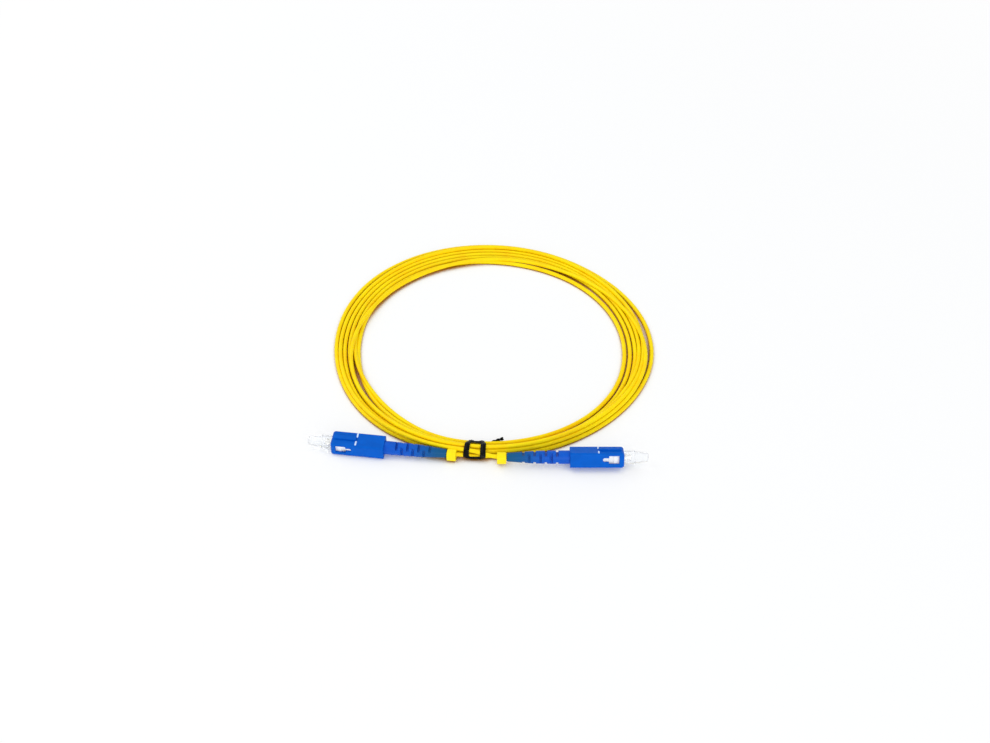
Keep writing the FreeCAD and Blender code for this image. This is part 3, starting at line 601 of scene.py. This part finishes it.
# %% Rule: the cutting blocks of the slots
SLOTS_FROM = 30.9
SLOT_PITCH = 2.6
BLOCK_BREADTH = 9.0
slot_rule, sizes = new_rule("boot_slots", {
    "Count": 4, "First": 0.0, "Pitch": 2 * SLOT_PITCH, "Width": 1.2, "Web": 2.9, "Depth": 3.0})
half_web = add(slot_rule, "ShaderNodeMath", {"operation": "MULTIPLY"}, _0=sizes["Web"], _1=0.5)
half_depth = add(slot_rule, "ShaderNodeMath", {"operation": "MULTIPLY"}, _0=sizes["Depth"],
                 _1=0.5)
away = add(slot_rule, "ShaderNodeMath", {"operation": "ADD"}, _0=half_web.outputs[0],
           _1=half_depth.outputs[0])
block_size = add(slot_rule, "ShaderNodeCombineXYZ", X=sizes["Width"], Y=BLOCK_BREADTH,
                 Z=sizes["Depth"])
block = add(slot_rule, "GeometryNodeMeshCube", Size=block_size.outputs[0])
pitch = add(slot_rule, "ShaderNodeCombineXYZ", X=sizes["Pitch"])
both = add(slot_rule, "GeometryNodeJoinGeometry")
for side in (-1, 1):
    height = add(slot_rule, "ShaderNodeMath", {"operation": "MULTIPLY"}, _0=away.outputs[0],
                 _1=float(side))
    start = add(slot_rule, "ShaderNodeCombineXYZ", X=sizes["First"], Z=height.outputs[0])
    row = add(slot_rule, "GeometryNodeMeshLine", Count=sizes["Count"],
              Start_Location=start.outputs[0], Offset=pitch.outputs[0])
    blocks = add(slot_rule, "GeometryNodeInstanceOnPoints", Points=row.outputs["Mesh"],
                 Instance=block.outputs["Mesh"])
    slot_rule.links.new(blocks.outputs["Instances"], both.inputs["Geometry"])
print("slot rule has", len(slot_rule.nodes), "nodes")

# %% Material: moulded rubber boot
boot_rubber, tree, shader = finish("moulded_rubber_boot", "#0058C8", 0.42, IOR=1.5,
                                   Specular_IOR_Level=0.18)
place = grain(tree, shader, 0.2, 0.004)
along = add(tree, "ShaderNodeAttribute", {"attribute_name": "along"})
fade = add(tree, "ShaderNodeMapRange", {"interpolation_type": "SMOOTHSTEP"},
           Value=along.outputs["Fac"], From_Min=0.35, From_Max=0.95)
tint = add(tree, "ShaderNodeMix", {"data_type": "RGBA"}, _0=fade.outputs[0],
           _6=vary(tree, place, "#0054C4", "#005BCE", 4.0), _7=linear("#075586"))
tree.links.new(tint.outputs[2], shader.inputs["Base Color"])
end_rule(slot_rule, both.outputs["Geometry"], boot_rubber)
print("made", boot_rubber.name)

# %% Helper: turned skins
def turned(outline, sides=72):
    """Turns a closed outline of distance and radius about a plug's axis."""
    skin = bmesh.new()
    corners = [skin.verts.new((along, 0, radius)) for along, radius in outline]
    edges = [skin.edges.new((a, b)) for a, b in zip(corners, corners[1:] + corners[:1])
             if a.co.z > 0 or b.co.z > 0]
    bmesh.ops.spin(skin, geom=corners + edges, axis=(1, 0, 0), cent=(0, 0, 0), dvec=(0, 0, 0),
                   angle=2 * math.pi, steps=sides)
    bmesh.ops.remove_doubles(skin, verts=skin.verts, dist=0.001)
    bmesh.ops.recalc_face_normals(skin, faces=skin.faces)
    return skin


print("lathe ready")

# %% Pieces: boots
BOOT_FROM = 21.9
BOOT_OUTLINE = [(BOOT_FROM, 2.16), (BOOT_FROM, 3.1), (22.0, 3.15), (28.6, 3.15), (35.0, 3.06),
                (41.9, 2.9), (46.0, 2.62), (50.0, 2.3), (53.6, 2.02), (54.05, 1.9),
                (BOOT_TO, 1.6), (BOOT_TO, 1.02), (29.8, 1.02), (29.8, 1.42), (28.0, 1.42),
                (28.0, 2.16)]

for end in "ab":
    tools = []
    for count, first, turn in ((4, SLOTS_FROM, 0), (3, SLOTS_FROM + SLOT_PITCH, 90)):
        mesh = grow(slot_rule, "slot_blocks", Count=count, First=first)
        mesh.transform(Matrix.Rotation(math.radians(turn), 4, "X"))
        blocks = bmesh.new()
        blocks.from_mesh(mesh)
        bpy.data.meshes.remove(mesh)
        tools.append(("DIFFERENCE", blocks))
    boot = new_piece("slotted_boot_" + end, combined(turned(BOOT_OUTLINE), *tools), boot_rubber)
    mesh = boot.data
    share = [(v.co.x - BOOT_FROM) / (BOOT_TO - BOOT_FROM) for v in mesh.vertices]
    mesh.attributes.new("along", "FLOAT", "POINT").data.foreach_set("value", share)
    mesh.transform(Matrix.Scale(MM, 4) @ PLUGS[end])
    round_edges(boot, 0.12, sharp=35)
    place_piece(boot, "cord_body", "boot_rubber", "boot_" + end)
    print("boot", end, "faces", len(mesh.polygons))

# %% [markdown]
# ## The markers
# A short sleeve of the cord's own yellow, a little harder and glossier. Its corners are
# already round in the CAD model, so only its ends are rounded here.

# %% Material and pieces: markers
marker_plastic, tree, shader = finish("moulded_pvc_marker", "#FFE908", 0.4, IOR=1.5,
                                      Specular_IOR_Level=0.2)
place = grain(tree, shader, 0.2, 0.003)
tree.links.new(vary(tree, place, "#FFE605", "#FFEC0C", 3.0), shader.inputs["Base Color"])

for end in "ab":
    marker = round_edges(new_piece("marker_ring_" + end, merged("marker_" + end, end),
                                   marker_plastic, end), 0.35, steps=3)
    place_piece(marker, "marker_" + end, "marker_plastic", "marker_" + end)
print("made the markers")

# %% [markdown]
# ## The dust caps
# The cap keeps the ferrule clean. It is a thin clear moulding: a skirt that enters the plug,
# a collar to pull it by and a narrower nose. Glass would bend the light too strongly for so
# thin a wall, so a weak index and some plain transparency give the nearly unseen cap.

# %% Material and pieces: dust caps
clear_plastic, tree, shader = finish("moulded_clear_cap", "#F8FBFF", 0.12, IOR=1.3,
                                     Transmission_Weight=1.0, Alpha=0.5)
grain(tree, shader, 0.5, 0.002)
CAP_OUTLINE = [(3.2, 1.3), (3.2, 2.2), (3.05, 2.35), (-0.1, 2.35), (-0.1, 2.9), (-0.4, 3.2),
               (-5.0, 3.2), (-5.3, 2.95), (-5.3, 2.7), (-10.4, 2.25), (-10.9, 2.1), (-11.25, 1.75),
               (-11.4, 1.2), (-11.4, 0), (-3.5, 0), (-3.5, 1.0), (-3.2, 1.3)]

for end in "ab":
    cap = new_piece("clear_cap_" + end, turned(CAP_OUTLINE), clear_plastic, end)
    round_edges(cap, 0.1)
    place_piece(cap, "cap_" + end, "clear_plastic", "dust_cap_" + end)
print("made the caps")

# %% [markdown]
# ## The ferrules
# A ferrule is a ceramic cylinder, ground to a micron and polished at its tip. Zirconia is
# dense, so it reflects more than plastic does.

# %% Material and pieces: ferrules
zirconia, tree, shader = finish("ground_zirconia", "#F6F4EE", 0.15, IOR=2.1)
grain(tree, shader, 0.05, 0.0004)
FERRULE_OUTLINE = [(-3.2, 0.0635), (-3.2, 0.9), (-3.05, 1.05), (-2.85, 1.25), (7.3, 1.25),
                   (7.3, 0.0635)]

for end in "ab":
    tip = round_edges(new_piece("ceramic_ferrule_" + end, turned(FERRULE_OUTLINE, 48), zirconia,
                                end), 0.04)
    place_piece(tip, "ferrule_" + end, "ceramic", "ferrule_" + end)
print("made the ferrules")

# %% [markdown]
# ## The springs
# A steel spring pushes each ferrule forward. Drawn wire is smooth and bright, so every turn
# carries a thin line of light. A rule draws it: a spiral of wire with a closed ring at each
# end. When the ferrule is pushed in, the spring's front end goes with it and its back end
# stays.

# %% Rule, material and pieces: springs
steel, tree, shader = finish("drawn_spring_steel", "#B9BBBD", 0.3, Metallic=1.0)
grain(tree, shader, 0.05, 0.001)
SPRING_FROM = 7.8
SPRING_TO = 16.3
WIRE_RADIUS = 0.2

spring_rule, sizes = new_rule("helical_spring", {
    "Turns": 8.0, "Mean Radius": 1.85, "Wire Radius": WIRE_RADIUS,
    "Length": SPRING_TO - SPRING_FROM - 2 * WIRE_RADIUS})
spiral = add(spring_rule, "GeometryNodeCurveSpiral", Resolution=36, Rotations=sizes["Turns"],
             Start_Radius=sizes["Mean Radius"], End_Radius=sizes["Mean Radius"],
             Height=sizes["Length"])
closed_end = add(spring_rule, "GeometryNodeCurvePrimitiveCircle", Resolution=40,
                 Radius=sizes["Mean Radius"])
lift = add(spring_rule, "ShaderNodeCombineXYZ", Z=sizes["Length"])
other_end = add(spring_rule, "GeometryNodeTransform", Geometry=closed_end.outputs["Curve"],
                Translation=lift.outputs[0])
lines = add(spring_rule, "GeometryNodeJoinGeometry")
for line in (spiral.outputs["Curve"], closed_end.outputs["Curve"],
             other_end.outputs["Geometry"]):
    spring_rule.links.new(line, lines.inputs["Geometry"])
wire = add(spring_rule, "GeometryNodeCurvePrimitiveCircle", Resolution=10,
           Radius=sizes["Wire Radius"])
turns = add(spring_rule, "GeometryNodeCurveToMesh", Curve=lines.outputs["Geometry"],
            Profile_Curve=wire.outputs["Curve"], Fill_Caps=True)
end_rule(spring_rule, turns.outputs["Mesh"], steel)

for end in "ab":
    mesh = grow(spring_rule, "coil_spring_" + end)
    front = Matrix.Translation((SPRING_FROM + WIRE_RADIUS, 0, 0))
    mesh.transform(Matrix.Scale(MM, 4) @ PLUGS[end] @ front @ Matrix.Rotation(math.pi / 2, 4, "Y"))
    mesh.shade_smooth()
    spring = bpy.data.objects.new("coil_spring_" + end, mesh)
    scene.collection.objects.link(spring)
    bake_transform(spring)
    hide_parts("spring_" + end)
    print("spring", end, "faces", len(mesh.polygons))

# %% [markdown]
# ## The pieces inside
# What lies under the boot and in the plug is seldom seen, so the CAD parts stay as they are
# and get the finish of their metal, yarn or plastic: a bright one on plated and turned metal, a
# matt one on yarn. Each grain has the size of its making, from 0.05 mm for the lathe's marks
# to 0.3 mm for yarn.

# %% Materials: inner pieces
INNER = {
    "ferrule_flange": ("turned_nickel_plate", "#C9C6BE", 0.25, 1.0, 0.05),
    "rear_body": ("turned_nickelled_brass", "#BDBAB2", 0.32, 1.0, 0.05),
    "yarn": ("aramid_yarn", "#E3C24A", 0.7, 0.0, 0.3),
    "crimp_sleeve": ("crimped_steel_sleeve", "#B4B4B2", 0.35, 1.0, 0.08),
    "buffer_fibre": ("extruded_buffer", "#F1EFE6", 0.4, 0.0, 0.2),
    "bare_fibre": ("drawn_silica", "#DCE8EE", 0.05, 0.0, 0.1),
}


def dress(kind, material):
    """Gives the CAD parts of one kind, at both ends, their material."""
    for end in "ab":
        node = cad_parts[kind + "_" + end]
        node.data.materials.clear()
        node.data.materials.append(material)


for kind, (name, colour, roughness, metallic, size) in INNER.items():
    material, tree, shader = finish(name, colour, roughness, Metallic=metallic)
    grain(tree, shader, size, 0.002)
    dress(kind, material)
dress("jacket_end", jacket)
print("dressed", 2 * len(INNER) + 2, "inner parts")

# %% [markdown]
# ## The bundle's girth
# The tie is a flat strip that hugs the bundle. Where it lies, every strand that passes is
# found on the cord's own line, and the tight outline round them is worked out. Directions
# run from 0 degrees at the front over 90 at the top to 180 at the back.

# %% The bundle's outline
MEAN_RADIUS = 70.0
STRIP_WIDTH = 2.5
STRAND_GAP = 0.05
LEAST_FACING = 0.05
FULL_TURN = np.arange(0, 361, 3)
DIRECTIONS = np.radians(FULL_TURN[:-1])
seen_from_centre = followed - np.array([*RING_CENTRE, 0])


def girth(arc):
    """The bundle's middle, and its reach in every direction, at one place of the ring."""
    angle = arc / MEAN_RADIUS
    out = seen_from_centre @ np.array([math.sin(angle), -math.cos(angle), 0])
    aside = seen_from_centre @ np.array([math.cos(angle), math.sin(angle), 0])
    spots = []
    for number in np.nonzero((aside[:-1] < 0) != (aside[1:] < 0))[0]:
        if out[number] > 0:
            share = aside[number] / (aside[number] - aside[number + 1])
            spots.append([out[number] + share * (out[number + 1] - out[number]),
                          seen_from_centre[number, 2] + share * (
                              seen_from_centre[number + 1, 2] - seen_from_centre[number, 2])])
    spots = np.array(spots)
    middle = (spots.min(axis=0) + spots.max(axis=0)) / 2
    normals = np.stack([np.cos(DIRECTIONS), np.sin(DIRECTIONS)], axis=1)
    support = ((spots - middle) @ normals.T).max(axis=0) + CORD_WIDTH / 2 + STRAND_GAP
    facing = np.cos(DIRECTIONS[:, None] - DIRECTIONS[None, :])
    reaches = support[None, :] / np.maximum(facing, LEAST_FACING)
    return middle, np.where(facing > LEAST_FACING, reaches, np.inf).min(axis=1), len(spots)


BAR_LEFT = -10.8
BAR_RIGHT = -3.4
arcs = np.linspace(BAR_LEFT - STRIP_WIDTH, BAR_RIGHT + STRIP_WIDTH, 12)
girths = [girth(arc) for arc in arcs]
middles = np.array([g[0] for g in girths])
reaches = np.array([g[1] for g in girths])
print("strands at the tie", [g[2] for g in girths], "middle", middles.mean(axis=0).round(2))

# %% Helper: a point on the bundle
mid_reach = reaches[len(reaches) // 2]
edge_points = np.stack([mid_reach * np.cos(DIRECTIONS), mid_reach * np.sin(DIRECTIONS)], axis=1)
steps = np.linalg.norm(np.diff(np.vstack([edge_points, edge_points[:1]]), axis=0), axis=1)
around = np.concatenate([[0], np.cumsum(steps)])


def around_at(degrees):
    """Distance round the bundle, in mm, from the front to a direction in degrees."""
    return float(np.interp(degrees % 360, FULL_TURN, around))


def on_bundle(arc, distance, lift):
    """A point of the bundle's skin, in mm, lifted off it."""
    direction = np.interp(distance % around[-1], around, np.radians(FULL_TURN))
    middle = [np.interp(arc, arcs, middles[:, axis]) for axis in (0, 1)]
    column = np.array([np.interp(direction, np.append(DIRECTIONS, 2 * math.pi),
                                 np.append(row, row[0])) for row in reaches])
    reach = np.interp(arc, arcs, column) + lift
    radius = middle[0] + reach * math.cos(direction)
    angle = arc / MEAN_RADIUS
    return (RING_CENTRE[0] + radius * math.sin(angle), RING_CENTRE[1] - radius * math.cos(angle),
            middle[1] + reach * math.sin(direction))


print("girth of the bundle", round(float(around[-1]), 1), "mm")

# %% [markdown]
# ## The twist tie
# The tie is a steel wire in a flat strip of extruded black plastic, which is dull and finely
# grained. It goes twice round the bundle. Seen from above, its two bars and the stretches that
# join them make a black O. A curve's own bevel would twist where the line turns, so the
# strip's section, thick in the middle where the wire lies, is swept along lines drawn on the
# bundle.

# %% Material: tie strip
tie_plastic, tree, shader = finish("extruded_tie_strip", "#040404", 0.45, IOR=1.5,
                                   Specular_IOR_Level=0.12)
grain(tree, shader, 0.2, 0.004)
print("made", tie_plastic.name)

# %% Piece: the strip round the bundle
STRIP_SECTION = [(-0.5, 0.02), (-0.5, 0.26), (-0.2, 0.3), (-0.12, 0.5), (0.12, 0.5), (0.2, 0.3),
                 (0.5, 0.26), (0.5, 0.02)]
FRONT_AT = -24
BACK_AT = 154
CORNER = 2.1
BAR_STEPS = 14
UNDER_POINTS = 40


def sweep_strip(skin, path, closed):
    """Sweeps the strip's section along a path of arc and distance round the bundle."""
    count = len(path)
    rings = []
    for number, (arc, distance) in enumerate(path):
        before = path[number - 1] if number or closed else path[0]
        after = path[(number + 1) % count] if number < count - 1 or closed else path[-1]
        heading = Vector((after[0] - before[0], after[1] - before[1])).normalized()
        rings.append([skin.verts.new(on_bundle(
            arc - heading.y * share * STRIP_WIDTH, distance + heading.x * share * STRIP_WIDTH,
            lift)) for share, lift in STRIP_SECTION])
    walled(skin, rings, closed)


low = around_at(FRONT_AT) - around[-1]
high = around_at(BACK_AT)
bar_step = (high - low - 2 * CORNER) / BAR_STEPS
o_path = []
for arc, distance, start in ((BAR_RIGHT, high, 0), (BAR_LEFT, high, 90), (BAR_LEFT, low, 180),
                             (BAR_RIGHT, low, 270)):
    centre = (arc - CORNER if arc == BAR_RIGHT else arc + CORNER,
              distance - CORNER if distance == high else distance + CORNER)
    for degrees in range(start, start + 91, ARC_STEP):
        turn = math.radians(degrees)
        o_path.append((centre[0] + CORNER * math.cos(turn), centre[1] + CORNER * math.sin(turn)))
    if arc == BAR_LEFT and distance == high:
        o_path += [(arc, high - CORNER - step * bar_step) for step in range(1, BAR_STEPS)]
    if arc == BAR_RIGHT and distance == low:
        o_path += [(arc, low + CORNER + step * bar_step) for step in range(1, BAR_STEPS)]

skin = bmesh.new()
sweep_strip(skin, o_path, True)
for arc in (BAR_LEFT + CORNER / 2, BAR_RIGHT - CORNER / 2):
    under = np.linspace(high, around[-1] + low, UNDER_POINTS)
    sweep_strip(skin, [(arc, distance) for distance in under], False)
bmesh.ops.recalc_face_normals(skin, faces=skin.faces)
skin.transform(Matrix.Scale(MM, 4))
print("strip faces", len(skin.faces))

# %% [markdown]
# The two ends of the strip are twisted together behind the bundle. A rule winds two strands
# round a straight line, and the result joins the strip.

# %% Rule: the twisted ends
TAIL_FROM = Vector((2.0, 5.75, 1.1))
TAIL_TO = Vector((11.8, 7.3, 4.3))
twist_rule, sizes = new_rule("twisted_ends", {
    "Turns": 2.5, "Pair Radius": 0.4, "Strand Radius": 0.42, "Length": 9.0})
strand = add(twist_rule, "GeometryNodeCurveSpiral", Resolution=24, Rotations=sizes["Turns"],
             Start_Radius=sizes["Pair Radius"], End_Radius=sizes["Pair Radius"],
             Height=sizes["Length"])
second = add(twist_rule, "GeometryNodeTransform", Geometry=strand.outputs["Curve"],
             Rotation=(0, 0, math.pi))
pair = add(twist_rule, "GeometryNodeJoinGeometry")
twist_rule.links.new(strand.outputs["Curve"], pair.inputs["Geometry"])
twist_rule.links.new(second.outputs["Geometry"], pair.inputs["Geometry"])
section = add(twist_rule, "GeometryNodeCurvePrimitiveCircle", Resolution=10,
              Radius=sizes["Strand Radius"])
wound = add(twist_rule, "GeometryNodeCurveToMesh", Curve=pair.outputs["Geometry"],
            Profile_Curve=section.outputs["Curve"], Fill_Caps=True)
end_rule(twist_rule, wound.outputs["Mesh"], tie_plastic)
line = TAIL_TO - TAIL_FROM
tail = grow(twist_rule, "twisted_ends", Length=line.length)
tail.transform(Matrix.Scale(MM, 4) @ Matrix.Translation(TAIL_FROM)
               @ line.to_track_quat("Z", "Y").to_matrix().to_4x4())
skin.from_mesh(tail)
bpy.data.meshes.remove(tail)
tie = new_piece("tie_strip", skin, tie_plastic)
tie.data.set_sharp_from_angle(angle=math.radians(50))
place_piece(tie, "cord_body", "tie_plastic", "twist_tie")
print("tie faces", len(tie.data.polygons))

# %% [markdown]
# ## The cord on its body
# The cord stands for the CAD model's two leads and its wound ring, and it carries the
# markers and the tie.

# %% The cord goes on its body
place_piece(cord, "cord_body", "yellow_jacket", "cord_lead_a", "cord_coil", "cord_lead_b")

# %% [markdown]
# ## Floor
# The photograph was taken in a light tent: white all round, with a faint soft shadow. For the
# camera, and for what shines or is clear, the floor is partly a plain white that needs no
# light. The rest is pale paper, which keeps the shadow. An Ambient Occlusion node takes the
# plain white back where something lies within 4 mm. In the narrow gaps between the turns the
# paper sees hardly anything but yellow jacket, and there its colour is painted the photo's deep
# brown: painted shade, warmed as if by the jacket's yellow bounce light.
# That is kept to a circle just inside the ring's outline, whose middle lies 8 mm behind the
# ring's own. Far out the floor is all plain white, so that a low view shows no horizon.

# %% Floor
FLOOR_HALF = 3.0
FLOOR_BELOW = 0.00005

floor_mesh = bpy.data.meshes.new("floor")
floor_mesh.from_pydata([(across * FLOOR_HALF, up * FLOOR_HALF, 0) for across, up in
                        ((-1, -1), (1, -1), (1, 1), (-1, 1))], [], [(0, 1, 2, 3)])
floor = bpy.data.objects.new("floor", floor_mesh)
scene.collection.objects.link(floor)
floor.location.z = -FLOOR_BELOW
print("laid the floor")

# %% Material: white paper
PAPER = "#FBFDFF"
# The colour of the painted shade in the gaps between the turns, warmed as if by yellow bounce
# light.
PAINTED_GAP_SHADE = "#B07A00"
WHITE_SHARE = 0.6
NEAR_REACH = 0.004
OPEN_FROM = 0.45
OPEN_TO = 0.85
GAP_FROM = 0.7
GAP_TO = 0.45
GAPS_BEHIND = 8
GAPS_CENTRE = (RING_CENTRE[0] * MM, (RING_CENTRE[1] + GAPS_BEHIND) * MM, 0)
GAPS_END = 0.0865
GAPS_FULL = 0.084
FAR_FROM = 0.25
FAR_TO = 0.6

paper, tree, shader = finish("white_paper_floor", PAPER, 0.7, Specular_IOR_Level=0.2)
path = add(tree, "ShaderNodeLightPath")
glow = add(tree, "ShaderNodeEmission", Color=(1, 1, 1, 1), Strength=1.0)
seen = add(tree, "ShaderNodeMath", {"operation": "MAXIMUM"}, _0=path.outputs["Is Camera Ray"],
           _1=path.outputs["Is Glossy Ray"])
seen = add(tree, "ShaderNodeMath", {"operation": "MAXIMUM"}, _0=seen.outputs[0],
           _1=path.outputs["Is Transmission Ray"])
near = add(tree, "ShaderNodeAmbientOcclusion", {"samples": 6}, Distance=NEAR_REACH)
openness = add(tree, "ShaderNodeMapRange", {"interpolation_type": "SMOOTHSTEP"},
               Value=near.outputs["AO"], From_Min=OPEN_FROM, From_Max=OPEN_TO)
share = add(tree, "ShaderNodeMath", {"operation": "MULTIPLY"}, _0=seen.outputs[0],
            _1=openness.outputs[0])
from_ring = add(tree, "ShaderNodeVectorMath", {"operation": "DISTANCE"},
                _0=add(tree, "ShaderNodeTexCoord").outputs["Object"], _1=GAPS_CENTRE)
in_ring = add(tree, "ShaderNodeMapRange", Value=from_ring.outputs["Value"], From_Min=GAPS_END,
              From_Max=GAPS_FULL)
# Painted shade: a mask of the closed-in paper in the ring's gaps, where the dark colour is
# painted.
in_gap = add(tree, "ShaderNodeMapRange", Value=near.outputs["AO"], From_Min=GAP_FROM,
             From_Max=GAP_TO)
painted_gap_shade = add(tree, "ShaderNodeMath", {"operation": "MULTIPLY"}, _0=in_ring.outputs[0],
              _1=in_gap.outputs[0])
# The paper's colour goes over to the painted gap shade where that mask is full.
brown = add(tree, "ShaderNodeMix", {"data_type": "RGBA"}, _0=painted_gap_shade.outputs[0],
            _6=linear(PAPER), _7=linear(PAINTED_GAP_SHADE))
tree.links.new(brown.outputs[2], shader.inputs["Base Color"])
far_out = add(tree, "ShaderNodeMapRange", Value=from_ring.outputs["Value"], From_Min=FAR_FROM,
              From_Max=FAR_TO, To_Min=WHITE_SHARE, To_Max=1.0)
share = add(tree, "ShaderNodeMath", {"operation": "MULTIPLY"}, _0=share.outputs[0],
            _1=far_out.outputs[0])
# Where the gap shade is painted, the plain white is taken out too.
pale = add(tree, "ShaderNodeMath", {"operation": "SUBTRACT"}, _0=1.0, _1=painted_gap_shade.outputs[0])
share = add(tree, "ShaderNodeMath", {"operation": "MULTIPLY"}, _0=share.outputs[0],
            _1=pale.outputs[0])
mix = add(tree, "ShaderNodeMixShader", _0=share.outputs[0], _1=shader.outputs[0],
          _2=glow.outputs[0])
tree.links.new(mix.outputs[0], tree.nodes["Material Output"].inputs["Surface"])
floor_mesh.materials.append(paper)
print("made", paper.name)

# %% [markdown]
# ## Light
# The tent's cloth glows evenly, which the world stands for. The camera sees it at full white,
# and so does what shines through a clear part, but its light on the parts is about two thirds
# of that. Two lamps of one size, at the back left and low at the front, give them their form.

# %% World and lamps
CLOTH_GLOW = 0.68

world = bpy.data.worlds.new("light_tent")
scene.world = world
world.use_nodes = True
tree = world.node_tree
tree.nodes.clear()
path = add(tree, "ShaderNodeLightPath")
seen = add(tree, "ShaderNodeMath", {"operation": "MAXIMUM"}, _0=path.outputs["Is Camera Ray"],
           _1=path.outputs["Is Transmission Ray"])
strength = add(tree, "ShaderNodeMapRange", Value=seen.outputs[0], To_Min=CLOTH_GLOW,
               To_Max=1.0)
tent = add(tree, "ShaderNodeBackground", Color=(1, 1, 1, 1), Strength=strength.outputs[0])
add(tree, "ShaderNodeOutputWorld", Surface=tent.outputs[0])


def lamp(name, watts, size, place, target):
    """A square lamp that points at a spot of the object."""
    data = bpy.data.lights.new(name, "AREA")
    data.energy = watts
    data.size = size
    light = bpy.data.objects.new(name, data)
    scene.collection.objects.link(light)
    light.location = place
    light.rotation_euler = (Vector(target) - Vector(place)).to_track_quat("-Z", "Y").to_euler()


lamp("key_light", watts=13.5, size=1.4, place=(-1.2, 0.7, 1.6), target=(0, 0.07, 0))
lamp("front_light", watts=15.5, size=1.4, place=(0.5, -1.8, 1.0), target=(0, 0.02, 0))
scene.view_settings.view_transform = "Standard"
print("lit")
